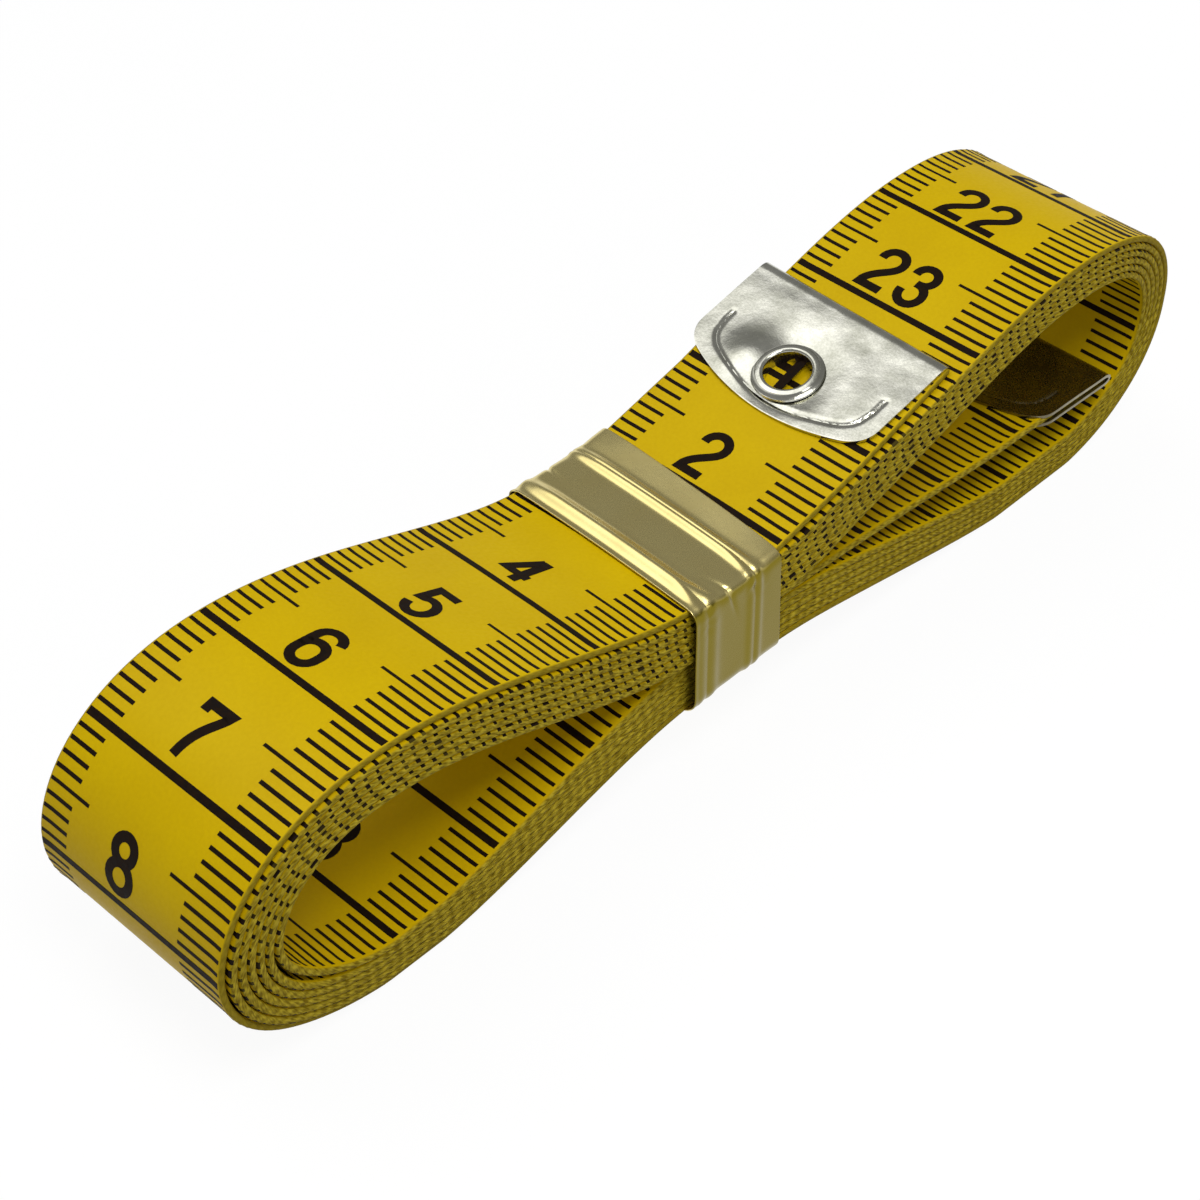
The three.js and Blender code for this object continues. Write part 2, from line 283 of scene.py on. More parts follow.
@dataclass(frozen=True)
class TapeFinish:
    """Yellow coated glass-fibre tape with a bare woven selvage."""

    yellow: Colour = linear(214, 181, 0)
    deep_yellow: Colour = linear(202, 166, 0)
    thread: Colour = linear(190, 168, 44)
    thread_shade: Colour = linear(120, 100, 8)
    first_turn: Pair = (226.0, 234.0)
    selvage_from: float = 8.82
    selvage_full: float = 8.94
    thread_slant: float = math.radians(20)
    fine_scale: float = 3.2
    cloud_scale: float = 0.16
    cloud_share: float = 0.45
    fine_share: float = 0.35
    fibre_scale: Pair = (1.1, 6.0)
    weft_lean: float = 5.0
    weft_share: float = 0.16
    woven_range: Pair = (0.1, 0.9)
    first_turn_weave: float = 0.3
    first_turn_lift: float = 0.12
    fine_height: float = 0.12
    roughness: Pair = (0.42, 0.52)
    selvage_roughness: float = 0.22
    specular: float = 0.08
    relief_mm: float = 0.06

    def material(self) -> bpy.types.Material:
        """Build the tape's material from its place along and across the tape.

        Returns:
            The coated tape.
        """
        finish = Finish("coated_tape")
        sheet = finish.sheet
        uv = sheet.add("ShaderNodeUVMap", uv_map=UV_NAME).outputs["UV"]
        parts = sheet.add("ShaderNodeSeparateXYZ", {0: uv})
        along, across = parts.outputs["X"], parts.outputs["Y"]
        through = sheet.add("ShaderNodeAttribute", attribute_name=THROUGH).outputs["Fac"]
        edge = sheet.ramp(sheet.math("ABSOLUTE", across), self.selvage_from, self.selvage_full)

        fine = finish.grain(uv, self.fine_scale, 0.0, 1.0)
        cloud = finish.grain(uv, self.cloud_scale, 0.0, self.cloud_share)
        face = sheet.blend(sheet.math("MULTIPLY_ADD", fine, self.fine_share, cloud), self.yellow,
                           self.deep_yellow)

        thread = self.weave(finish, along, through)
        edge_colour = sheet.blend(thread, self.thread_shade, self.thread)
        height = sheet.math("ADD", sheet.math("MULTIPLY", thread, edge),
                            sheet.math("MULTIPLY", fine, self.fine_height))
        return finish.done({
            "Base Color": sheet.blend(edge, face, edge_colour),
            "Roughness": sheet.math("MULTIPLY_ADD", edge, self.selvage_roughness,
                                    sheet.ramp(fine, 0, 1, *self.roughness)),
            "Specular IOR Level": self.specular,
            "Normal": finish.bump(height, self.relief_mm),
        })

    def weave(self, finish: Finish, along: bpy.types.NodeSocket,
              through: bpy.types.NodeSocket) -> bpy.types.NodeSocket:
        """Threads of the bare selvage, which are plainer on the first turn.

        Args:
            finish: The material being made.
            along: Length along the tape.
            through: Depth through it.

        Returns:
            How far each place lies on a thread, from 0 to 1.
        """
        sheet = finish.sheet
        turn, rise = math.cos(self.thread_slant), math.sin(self.thread_slant)
        lengthwise = sheet.math("ADD", sheet.math("MULTIPLY", along, turn),
                                sheet.math("MULTIPLY", through, rise))
        crosswise = sheet.math("SUBTRACT", sheet.math("MULTIPLY", through, turn),
                               sheet.math("MULTIPLY", along, rise))
        fibre_place = sheet.add("ShaderNodeCombineXYZ", {
            0: sheet.math("MULTIPLY", lengthwise, self.fibre_scale[0]),
            1: sheet.math("MULTIPLY", crosswise, self.fibre_scale[1])})
        fibre = finish.grain(fibre_place.outputs[0], 1.0, 0.0, 1.0)
        weft = sheet.math("SINE", sheet.math("MULTIPLY_ADD", along, 2 * math.pi,
                                             sheet.math("MULTIPLY", through, self.weft_lean)))
        woven = sheet.ramp(sheet.math("MULTIPLY_ADD", weft, self.weft_share, fibre),
                           *self.woven_range)
        inside = sheet.ramp(along, *self.first_turn)
        share = sheet.ramp(inside, 0, 1, self.first_turn_weave, 1)
        lift = sheet.ramp(inside, 0, 1, self.first_turn_lift, 0)
        return sheet.math("ADD", sheet.math("MULTIPLY", woven, share), lift)


@dataclass(frozen=True)
class InkFinish:
    """Printing ink, which thins out to the tape's own tone where its attribute falls."""

    ink: Colour = linear(20, 13, 9)
    worn: Colour = linear(42, 26, 8)
    bare: Colour = linear(142, 126, 40)
    grain_scale: float = 2600.0
    worn_share: float = 0.5
    roughness: Pair = (0.5, 0.65)
    specular: float = 0.06
    relief_mm: float = 0.01

    def material(self) -> bpy.types.Material:
        """Build the ink's material.

        Returns:
            The ink.
        """
        finish = Finish("printing_ink")
        sheet = finish.sheet
        place = sheet.add("ShaderNodeTexCoord").outputs["Object"]
        fine = finish.grain(place, self.grain_scale, 0.0, 1.0)
        amount = sheet.add("ShaderNodeAttribute", attribute_name=INK).outputs["Fac"]
        inked = sheet.blend(sheet.math("MULTIPLY", fine, self.worn_share), self.ink, self.worn)
        return finish.done({
            "Base Color": sheet.blend(amount, self.bare, inked),
            "Roughness": sheet.ramp(fine, 0, 1, *self.roughness),
            "Specular IOR Level": self.specular,
            "Normal": finish.bump(fine, self.relief_mm),
        })


@dataclass(frozen=True)
class MetalFinish:
    """Sheet metal with soft dents, fine grain and a mottled polish.

    Where a side colour is given, the metal has that colour on the faces of both its sides, past a
    distance across from the middle: painted shade that darkens those faces.
    """

    name: str
    bright: Colour
    dull: Colour
    roughness: Pair
    mottle_scale: float
    dent_scale: float
    dent_mm: float
    fine_mm: float = 0.004
    # A side colour is painted shade on the faces of both sides, past a distance across from the
    # middle.
    side: Colour | None = None
    side_from: Pair = (9.25, 9.5)
    side_middle: float = -0.36
    fine_scale: float = 5200.0
    mottle_share: float = 0.8
    polish_range: Pair = (0.2, 1.8)

    def material(self) -> bpy.types.Material:
        """Build the metal's material.

        Returns:
            The metal.
        """
        finish = Finish(self.name)
        sheet = finish.sheet
        place = sheet.add("ShaderNodeTexCoord").outputs["Object"]
        mottle = finish.grain(place, self.mottle_scale, 0.0, 1.0)
        fine = finish.grain(place, self.fine_scale, 0.0, 1.0)
        dents = finish.grain(place, self.dent_scale, 0.0, 1.0)
        tone = sheet.math("MULTIPLY_ADD", fine, 1 - self.mottle_share,
                          sheet.math("MULTIPLY", mottle, self.mottle_share))
        colour = sheet.blend(tone, self.bright, self.dull)
        # Painted shade: the side colour darkens the faces of both sides past a distance across.
        if self.side is not None:
            y = sheet.add("ShaderNodeSeparateXYZ", {0: place}).outputs["Y"]
            across = sheet.math("ABSOLUTE", sheet.math("SUBTRACT", y, self.side_middle * MM))
            painted_side_shade = sheet.ramp(across, *(limit * MM for limit in self.side_from))
            colour = sheet.blend(painted_side_shade, colour, self.side)
        return finish.done({
            "Base Color": colour,
            "Metallic": 1.0,
            "Roughness": sheet.ramp(sheet.math("ADD", mottle, fine), *self.polish_range,
                                    *self.roughness),
            "Normal": finish.bump(fine, self.fine_mm, finish.bump(dents, self.dent_mm)),
        })


PLATED_STEEL = MetalFinish(
    "plated_steel", linear(214, 213, 202), linear(166, 166, 152), roughness=(0.1, 0.26),
    mottle_scale=420.0, dent_scale=240.0, dent_mm=0.03, fine_mm=0.002)
DULL_STEEL = MetalFinish(
    "dull_steel", linear(144, 138, 116), linear(100, 92, 70), roughness=(0.2, 0.34),
    mottle_scale=380.0, dent_scale=260.0, dent_mm=0.05)
GOLD_FOIL = MetalFinish(
    "gold_foil", linear(226, 210, 144), linear(216, 199, 132), roughness=(0.25, 0.3),
    mottle_scale=300.0, dent_scale=220.0, dent_mm=0.012, fine_mm=0.0005,
    # The side colour is painted shade, darker and yellower, on the band's near and far faces.
    side=linear(129, 115, 36))


# Shared mesh work


def link(name: str, data: bpy.types.ID) -> bpy.types.Object:
    """Make an object of some data and link it to the scene.

    Args:
        name: The object's name.
        data: Its mesh, camera or light.

    Returns:
        The object.
    """
    made = bpy.data.objects.new(name, data)
    bpy.context.scene.collection.objects.link(made)
    return made


def to_object(name: str, places: np.ndarray, faces: Sequence[Sequence[int]]) -> bpy.types.Object:
    """Make a closed mesh object with its faces pointing out.

    Args:
        name: The object's name.
        places: Vertex places in millimetres.
        faces: Vertex numbers of each face.

    Returns:
        The object, linked to the scene.
    """
    mesh = bpy.data.meshes.new(name)
    mesh.from_pydata((places * MM).tolist(), [], faces)
    work = bmesh.new()
    work.from_mesh(mesh)
    bmesh.ops.recalc_face_normals(work, faces=work.faces)
    work.to_mesh(mesh)
    work.free()
    return link(name, mesh)


def only(made: bpy.types.Object) -> bpy.types.Object:
    """Make an object the only one selected, and active.

    Args:
        made: The object.

    Returns:
        The same object.
    """
    bpy.ops.object.select_all(action="DESELECT")
    made.select_set(True)
    bpy.context.view_layer.objects.active = made
    return made


def adopt(name: str) -> bpy.types.Object:
    """Name the primitive that was added last, and its mesh.

    Args:
        name: The piece's name.

    Returns:
        The primitive.
    """
    made = bpy.context.active_object
    made.name = name
    made.data.name = name
    return made


def face_outwards(made: bpy.types.Object, weld_mm: float = 0.0) -> None:
    """Point a piece's faces outwards, in edit mode.

    Args:
        made: The piece.
        weld_mm: Distance within which its vertices are merged first, if any.
    """
    only(made)
    bpy.ops.object.mode_set(mode="EDIT")
    bpy.ops.mesh.select_all(action="SELECT")
    if weld_mm:
        bpy.ops.mesh.remove_doubles(threshold=weld_mm * MM)
    bpy.ops.mesh.normals_make_consistent(inside=False)
    bpy.ops.object.mode_set(mode="OBJECT")


def cut_through(made: bpy.types.Object, cutter: bpy.types.Object) -> None:
    """Cut a cutter's shape out of a piece, and remove the cutter.

    Args:
        made: The piece.
        cutter: The shape to cut out.
    """
    cut = made.modifiers.new("bore", "BOOLEAN")
    cut.operation = "DIFFERENCE"
    cut.solver = "EXACT"
    cut.object = cutter
    only(made)
    bpy.ops.object.modifier_apply(modifier=cut.name)
    bpy.data.objects.remove(cutter)


def read_places(made: bpy.types.Object) -> np.ndarray:
    """Vertex places of an object's mesh, in millimetres.

    Args:
        made: The object.

    Returns:
        The places, one a row.
    """
    flat = np.zeros(3 * len(made.data.vertices))
    made.data.vertices.foreach_get("co", flat)
    return flat.reshape(-1, 3) / MM


def write_places(made: bpy.types.Object, places: np.ndarray) -> None:
    """Put an object's vertices at places in millimetres."""
    made.data.vertices.foreach_set("co", (places * MM).ravel())
    made.data.update()


BEVEL_SEGMENTS = 2
BEVEL_FROM = math.radians(60)


def finish_edges(made: bpy.types.Object, sheet_mm: float, bevel_mm: float,
                 smooth_angle: float = 35.0) -> None:
    """Give a thin surface its thickness and soft edges.

    Args:
        made: The surface.
        sheet_mm: Its thickness.
        bevel_mm: The width of the bevel on its rims.
        smooth_angle: The angle in degrees up to which faces shade smoothly.
    """
    only(made)
    thick = made.modifiers.new("thickness", "SOLIDIFY")
    thick.thickness = sheet_mm * MM
    thick.offset = 0.0
    bpy.ops.object.modifier_apply(modifier=thick.name)
    rim = made.modifiers.new("rim", "BEVEL")
    rim.width = bevel_mm * MM
    rim.segments = BEVEL_SEGMENTS
    rim.limit_method = "ANGLE"
    rim.angle_limit = BEVEL_FROM
    bpy.ops.object.modifier_apply(modifier=rim.name)
    bpy.ops.object.shade_smooth_by_angle(angle=math.radians(smooth_angle))


# The tape


class Face(Enum):
    """Side of the tape that carries a print."""

    OUTER = 1
    INNER = -1


@dataclass(frozen=True)
class TapeStock:
    """The tape itself, as cut: its width, its thickness and the shape of its section."""

    width: float = 18.0
    thickness: float = 0.45
    bead_from: float = 8.1
    stations: tuple[float, ...] = (2.5, 6.0, 8.1, 8.8)
    corner: Pair = (8.95, 0.8)
    edge_share: float = 0.45

    @property
    def half(self) -> float:
        """Half the tape's width."""
        return self.width / 2

    def section(self) -> list[Pair]:
        """Outline of the tape's section: place across, and share of the half thickness.

        Returns:
            The outline's points, in order round it.
        """
        quarter = [(y, 1.0) for y in self.stations] + [self.corner, (self.half, self.edge_share)]
        right = quarter + [(y, -share) for y, share in reversed(quarter)]
        return right + [(-y, -share) for y, share in right]


class TapeRun:
    """A stretch of tape as it lies: every place on it by length, place across and depth."""

    def __init__(self, stock: TapeStock, lengths: np.ndarray, rows: dict[str, np.ndarray]) -> None:
        """Keep the run's rows.

        Args:
            stock: The tape's section.
            lengths: Length along the tape at each row, rising.
            rows: At each row x and z, the outward normal nx and nz, the edge's thickness, the
                sideways shift and the crown's height.
        """
        self.stock = stock
        self.lengths = lengths
        self.rows = rows

    def at(self, along: np.ndarray, name: str) -> np.ndarray:
        """A row value at lengths along the tape."""
        return np.interp(along, self.lengths, self.rows[name])

    def half_depth(self, along: np.ndarray, across: np.ndarray) -> np.ndarray:
        """Half the tape's thickness, which grows at its selvage.

        Args:
            along: Length along the tape.
            across: Place across it, from its middle.

        Returns:
            Half the thickness there.
        """
        stock = self.stock
        reach = stock.stations[-1] - stock.bead_from
        bead = np.clip((np.abs(across) - stock.bead_from) / reach, 0.0, 1.0)
        return (stock.thickness + (self.at(along, "edge") - stock.thickness) * bead) / 2

    def place(self, along: np.ndarray, across: np.ndarray, through: np.ndarray) -> np.ndarray:
        """Places on or off the tape.

        Args:
            along: Length along the tape.
            across: Place across it, from its middle.
            through: Distance off its middle layer, outward positive.

        Returns:
            Places in millimetres, one row each.
        """
        stations = np.array([0.0, *self.stock.stations, self.stock.half])
        arch = 1.0 - (stations / self.stock.half) ** 2
        crown = self.at(along, "crown") * np.interp(np.abs(across), stations, arch)
        x = self.at(along, "x") + through * self.at(along, "nx")
        z = self.at(along, "z") + through * self.at(along, "nz") + crown
        return np.stack([x, across + self.at(along, "shift"), z], axis=1)

    def flat(self) -> Pair:
        """Width and length of the run laid flat, in metres."""
        return self.stock.width * MM, (self.lengths[-1] - self.lengths[0]) * MM

    def mesh(self, name: str) -> bpy.types.Object:
        """Build the run's tape as a closed ribbon with its map and depth.

        Args:
            name: The object's name.

        Returns:
            The ribbon.
        """
        section = self.stock.section()
        count, rows = len(section), len(self.lengths)
        along = np.repeat(self.lengths, count)
        across = np.tile([y for y, _ in section], rows)
        share = np.tile([part for _, part in section], rows)
        through = share * self.half_depth(along, across)
        faces = [[row * count + i, row * count + (i + 1) % count,
                  (row + 1) * count + (i + 1) % count, (row + 1) * count + i]
                 for row in range(rows - 1) for i in range(count)]
        faces += [list(range(count)), list(range((rows - 1) * count, rows * count))]
        made = to_object(name, self.place(along, across, through), faces)
        for polygon in made.data.polygons:
            polygon.use_smooth = True
        attribute = made.data.attributes.new(THROUGH, "FLOAT", "POINT")
        attribute.data.foreach_set("value", through.astype(np.float32))
        corners = np.zeros(len(made.data.loops), np.int32)
        made.data.loops.foreach_get("vertex_index", corners)
        layer = made.data.uv_layers.new(name=UV_NAME)
        layer.data.foreach_set("uv", np.stack([along, across], axis=1)[corners].ravel())
        return made


@dataclass(frozen=True)
class Winding:
    """The way that the tape is wound: its outline, how its turns lie, and its two free ends."""

    stock: TapeStock = TapeStock()
    bundle_length: float = 102.85
    bundle_height: float = 23.3
    waist_rise: float = 5.15
    waist_top: float = 15.18
    floor_press: float = 0.27
    floor_clearance: float = 0.31
    whole_turns: int = 6
    edge_gap: float = 0.06
    edge_thickness: Pair = (0.46, 0.66)
    outer_edge: float = 0.55
    outer_edge_fade: Pair = (0.97, 1.03)
    row_step: float = 0.7
    loose_row_step: float = 0.3
    crown: float = 0.24
    crown_reach: Pair = (10.0, 26.0)
    waist_x: float = -3.2
    seam_x: float = -0.6
    loose_from: float = -1.85
    loose_foot: float = 1.62
    loose_slope: float = math.radians(15.3)
    loose_flat: Pair = (1.0, 7.5)
    tape_end_x: float = 20.57
    scale_start: float = 0.2
    tuck: float = 0.6
    loose_shift: tuple[Pair, ...] = ((1.5, -0.37), (10.0, -0.45), (21.0, 0.0))
    deep_shift: float = -0.3
    deep_from: Pair = (0.62, 0.95)
    inner_shift: float = -0.05
    stray_leave_x: float = -1.0
    stray_end: Pair = (44.1, 7.2)
    stray_slope: float = -0.04
    stray_straight: float = 13.5
    stray_ease: Pair = (0.44, 7.0)
    slack_turns: float = 6.378
    slack_width: float = 0.036
    slack: float = 0.42
    seam_turns: Pair = (0.0, 0.25)
    stray_turns: Pair = (0.45, 0.75)
    shift_fade: float = 0.06
    samples: int = 40000
    search_samples: int = 4000
    middle_samples: int = 2000
    loose_samples: int = 2000
    lead_samples: int = 200
    stray_samples: tuple[int, int] = (800, 300)

    # Control points of the first turn: share of the half length, level, and pitch of the turns
    OUTLINE = (
        (0.392, 2.70, 0.68), (0.274, 2.47, 0.69), (0.160, 2.27, 0.71), (0.062, 2.04, 0.73),
        (-0.070, 2.00, 0.74), (-0.194, 2.00, 0.73), (-0.350, 2.31, 0.69), (-0.524, 2.72, 0.66),
        (-0.700, 2.95, 0.62), (-0.853, 2.85, 0.62), (-0.965, 2.34, 0.66), (-1.009, 1.62, 0.72),
        (-0.965, 1.02, 0.72), (-0.875, 0.42, 0.66), (-0.765, 0.07, 0.64), (-0.655, 0.00, 0.64),
        (-0.524, 0.20, 0.66), (-0.360, 0.63, 0.70), (-0.194, 1.00, 0.74), (-0.058, 1.00, 0.74),
        (0.078, 1.00, 0.74), (0.233, 0.71, 0.70), (0.388, 0.41, 0.63), (0.544, 0.11, 0.58),
        (0.660, 0.00, 0.57), (0.777, 0.00, 0.57), (0.892, 0.28, 0.58), (0.980, 1.00, 0.585),
        (1.012, 1.62, 0.585), (0.970, 2.36, 0.60), (0.862, 2.88, 0.63), (0.709, 3.04, 0.66),
        (0.552, 2.92, 0.67),
    )

    # Sideways shift round one turn: share of the turn, shift, and how much of a deeper turn's own
    # shift shows there
    SHIFTS = (
        (0.00, -0.86, 0.25), (0.03, -0.78, 0.30), (0.06, -0.64, 0.40), (0.09, -0.49, 0.55),
        (0.12, -0.29, 0.70), (0.15, -0.12, 0.85), (0.18, 0.00, 1.00), (0.42, 0.00, 1.00),
        (0.49, 0.00, 0.40), (0.56, 0.00, 0.00), (0.80, 0.00, 0.00), (0.85, -0.10, 0.05),
        (0.88, -0.40, 0.10), (0.91, -0.72, 0.15), (0.94, -0.84, 0.20), (1.00, -0.86, 0.25),
    )

    def height(self, level: float) -> float:
        """Height of the tape's middle at a level: table, waist underside, waist top, crest.

        Args:
            level: Level from 0 to 3.

        Returns:
            The height.
        """
        half = self.stock.thickness / 2
        heights = (half - self.floor_press, self.waist_rise + half, self.waist_top - half,
                   self.bundle_height - half)
        below = min(int(level), len(heights) - 2)
        return heights[below] + (level - below) * (heights[below + 1] - heights[below])

    def controls(self) -> np.ndarray:
        """Control points, each moved out by what the spiral drifts in before it, with pitches.

        Returns:
            At each point its place along X, its height and the pitch.
        """
        plain = np.array([(share * self.bundle_length / 2, self.height(level))
                          for share, level, _ in self.OUTLINE])
        pitch = np.array([row[2] for row in self.OUTLINE])
        inward = turned_left(unit(np.roll(plain, -1, axis=0) - np.roll(plain, 1, axis=0)))
        drift = pitch * np.arange(len(plain)) / len(plain)
        return np.column_stack([plain - inward * drift[:, None], pitch])

    def spline(self, turns: np.ndarray) -> tuple[np.ndarray, np.ndarray, np.ndarray]:
        """The outline's place, inward normal and pitch at counts of turns.

        Args:
            turns: Counts of turns, of which the part past a whole one gives the place.

        Returns:
            Places, inward normals and pitches.
        """
        controls = self.controls()
        spans = len(controls)
        along = (turns - np.floor(turns)) * spans
        span = np.minimum(along.astype(int), spans - 1)
        f = along - span
        g = 1.0 - f
        weights = (g ** 3 / 6, (3 * f ** 3 - 6 * f ** 2 + 4) / 6,
                   (3 * g ** 3 - 6 * g ** 2 + 4) / 6, f ** 3 / 6)
        slopes = (-g ** 2 / 2, (3 * f ** 2 - 4 * f) / 2, (4 * g - 3 * g ** 2) / 2, f ** 2 / 2)
        near = [controls[(span + j - 1) % spans] for j in range(4)]
        value = sum(weight[:, None] * point for weight, point in zip(weights, near))
        run = sum(slope[:, None] * point[:, :2] for slope, point in zip(slopes, near))
        return value[:, :2], turned_left(unit(run)), value[:, 2]

    def centre(self, turns: np.ndarray) -> tuple[np.ndarray, np.ndarray, np.ndarray]:
        """The tape's middle layer, with its inward normal and its pitch.

        Args:
            turns: Counts of turns.

        Returns:
            Places, inward normals and pitches.
        """
        whole = np.floor(turns)
        place, inward, pitch = self.spline(turns)
        point = place + inward * (pitch * (turns - whole))[:, None]
        point[:, 1] = np.maximum(point[:, 1], self.floor_clearance)
        slack = self.slack * np.exp(-((turns - self.slack_turns) / self.slack_width) ** 2)
        return point + inward * (pitch * whole + slack)[:, None], inward, pitch

    def middle_x(self) -> float:
        """Middle of the first turn's length, which the bundle is centred on."""
        x = self.centre(np.linspace(0, 1, self.middle_samples, endpoint=False))[0][:, 0]
        return (x.min() + x.max()) / 2

    def turn_at(self, x: float, start: float, end: float) -> float:
        """Count of turns between two bounds at which the centre line crosses a place along X.

        Args:
            x: The place along X.
            start: Least count of turns.
            end: Greatest count of turns.

        Returns:
            The count of turns.
        """
        turns = np.linspace(start, end, self.search_samples)
        reached = self.centre(turns)[0][:, 0] - self.middle_x()
        order = np.argsort(reached)
        return float(np.interp(x, reached[order], turns[order]))

    def edge(self, pitch: np.ndarray) -> np.ndarray:
        """Thickness of the selvage where turns lie a pitch apart."""
        return np.clip(pitch - self.edge_gap, *self.edge_thickness)

    def crown_at(self, x: np.ndarray) -> np.ndarray:
        """Height of the tape's crown at places along X."""
        near, far = self.crown_reach
        return self.crown * (1.0 - smooth((np.abs(x - self.waist_x) - near) / (far - near)))

    def shift_at(self, turns: np.ndarray) -> np.ndarray:
        """Sideways shift of the winding at counts of turns, which grows where a turn lies deeper.

        Args:
            turns: Counts of turns.

        Returns:
            The shifts.
        """
        start, end = self.deep_from
        deeper = (self.deep_shift * smooth((turns - start) / (end - start))
                  + self.inner_shift * np.maximum(turns - end, 0.0))
        shares, shifts, deep_shares = np.array(self.SHIFTS).T
        share = turns - np.floor(turns)
        return np.interp(share, shares, shifts) + deeper * np.interp(share, shares, deep_shares)

    def run(self, points: np.ndarray, inward: np.ndarray, edge: np.ndarray, crown: np.ndarray,
            shift: np.ndarray, start: float, step: float) -> TapeRun:
        """Sample a dense line evenly and make a run of it.

        Args:
            points: Places along the line, from its low length to its high one.
            inward: Inward normals there.
            edge: Selvage thickness there.
            crown: Height of the crown there.
            shift: Sideways shift there.
            start: Length along the tape at the first point.
            step: Length between rows.

        Returns:
            The run.
        """
        gaps = np.linalg.norm(np.diff(points, axis=0), axis=1)
        dense = start + np.concatenate([[0.0], np.cumsum(gaps)])
        lengths = np.linspace(dense[0], dense[-1], int((dense[-1] - dense[0]) / step) + 1)

        def pick(values: np.ndarray) -> np.ndarray:
            """Values of the dense line at the rows."""
            return np.interp(lengths, dense, values)

        nx, nz = -pick(inward[:, 0]), -pick(inward[:, 1])
        size = np.hypot(nx, nz)
        rows = {"x": pick(points[:, 0]), "z": pick(points[:, 1]), "nx": nx / size,
                "nz": nz / size, "edge": pick(edge), "shift": pick(shift), "crown": pick(crown)}
        return TapeRun(self.stock, lengths, rows)

    def loose_line(self, x: np.ndarray) -> tuple[np.ndarray, np.ndarray, np.ndarray, np.ndarray]:
        """The loose outer end's line at places along X, from where it leaves the winding.

        Args:
            x: Places along X, falling.

        Returns:
            Places, inward normals, crown heights and sideways shifts.
        """
        gradient = math.tan(self.loose_slope)
        reach = self.loose_foot - self.loose_from
        share = np.clip((x - self.loose_from) / reach, 0.0, 1.0)
        rise = gradient * reach / 2 * share ** 2 + gradient * np.maximum(x - self.loose_foot, 0.0)
        z = self.waist_top - self.stock.thickness / 2 + rise
        inward = unit(np.stack([gradient * share, -np.ones_like(x)], axis=1))
        flat_from, flat_to = self.loose_flat
        crown = self.crown_at(x) * (1.0 - smooth((x - flat_from) / (flat_to - flat_from)))
        at, shifts = np.array(self.loose_shift).T
        return np.stack([x, z], axis=1), inward, crown, np.interp(x, at, shifts)

    def loose_end(self) -> TapeRun:
        """The loose outer end, from its end in the tip to the seam under the band.

        Returns:
            The run, whose lengths rise from the end in the tip.
        """
        points, inward, crown, shift = self.loose_line(
            np.linspace(self.tape_end_x, self.seam_x, self.loose_samples))
        edge = np.full(len(points), self.outer_edge)
        return self.run(points, inward, edge, crown, shift, self.scale_start, self.loose_row_step)

    def stray(self, foot: np.ndarray, tangent: np.ndarray) -> tuple[np.ndarray, np.ndarray]:
        """The stray inner end's line, from where it leaves the lower run.

        Args:
            foot: Its first place.
            tangent: Its direction there.

        Returns:
            Places past the first one, and inward normals.
        """
        end = np.array(self.stray_end)
        way = np.array([math.cos(self.stray_slope), math.sin(self.stray_slope)])
        joint = end - way * self.stray_straight
        first, second = self.stray_ease
        bends = (foot, foot + tangent * first * (joint[0] - foot[0]), joint - way * second, joint)
        eased, straight = (np.linspace(0, 1, count)[1:] for count in self.stray_samples)
        line = np.vstack([cubic(bends, eased), joint + (end - joint) * straight[:, None]])
        return line, turned_left(unit(np.gradient(line, axis=0)))

    def wound(self, start: float) -> TapeRun:
        """The wound tape, from the seam to its stray inner end.

        Args:
            start: Length along the tape at the seam.

        Returns:
            The run.
        """
        first = self.turn_at(self.loose_from, *self.seam_turns)
        leave = self.whole_turns + self.turn_at(self.stray_leave_x, *self.stray_turns)
        lead, lead_inward, lead_crown, lead_shift = self.loose_line(
            np.linspace(self.seam_x, self.loose_from, self.lead_samples)[:-1])
        turns = np.linspace(first, leave, self.samples)
        points, inward, pitch = self.centre(turns)
        points[:, 0] -= self.middle_x()
        shift = self.shift_at(turns)
        shift = lead_shift[-1] + (shift - lead_shift[-1]) * smooth(
            (turns - first) / self.shift_fade)
        line, line_inward = self.stray(points[-1], np.array([inward[-1, 1], -inward[-1, 0]]))
        fade_from, fade_to = self.outer_edge_fade
        edge = self.outer_edge + (self.edge(pitch) - self.outer_edge) * smooth(
            (turns - fade_from) / (fade_to - fade_from))
        return self.run(
            np.vstack([lead, points, line]), np.vstack([lead_inward, inward, line_inward]),
            np.concatenate([np.full(len(lead), edge[0]), edge, np.full(len(line), edge[-1])]),
            np.concatenate([lead_crown, self.crown_at(points[:, 0]), self.crown_at(line[:, 0])]),
            np.concatenate([lead_shift, shift, np.full(len(line), shift[-1])]),
            start + self.tuck, self.row_step)


# The print


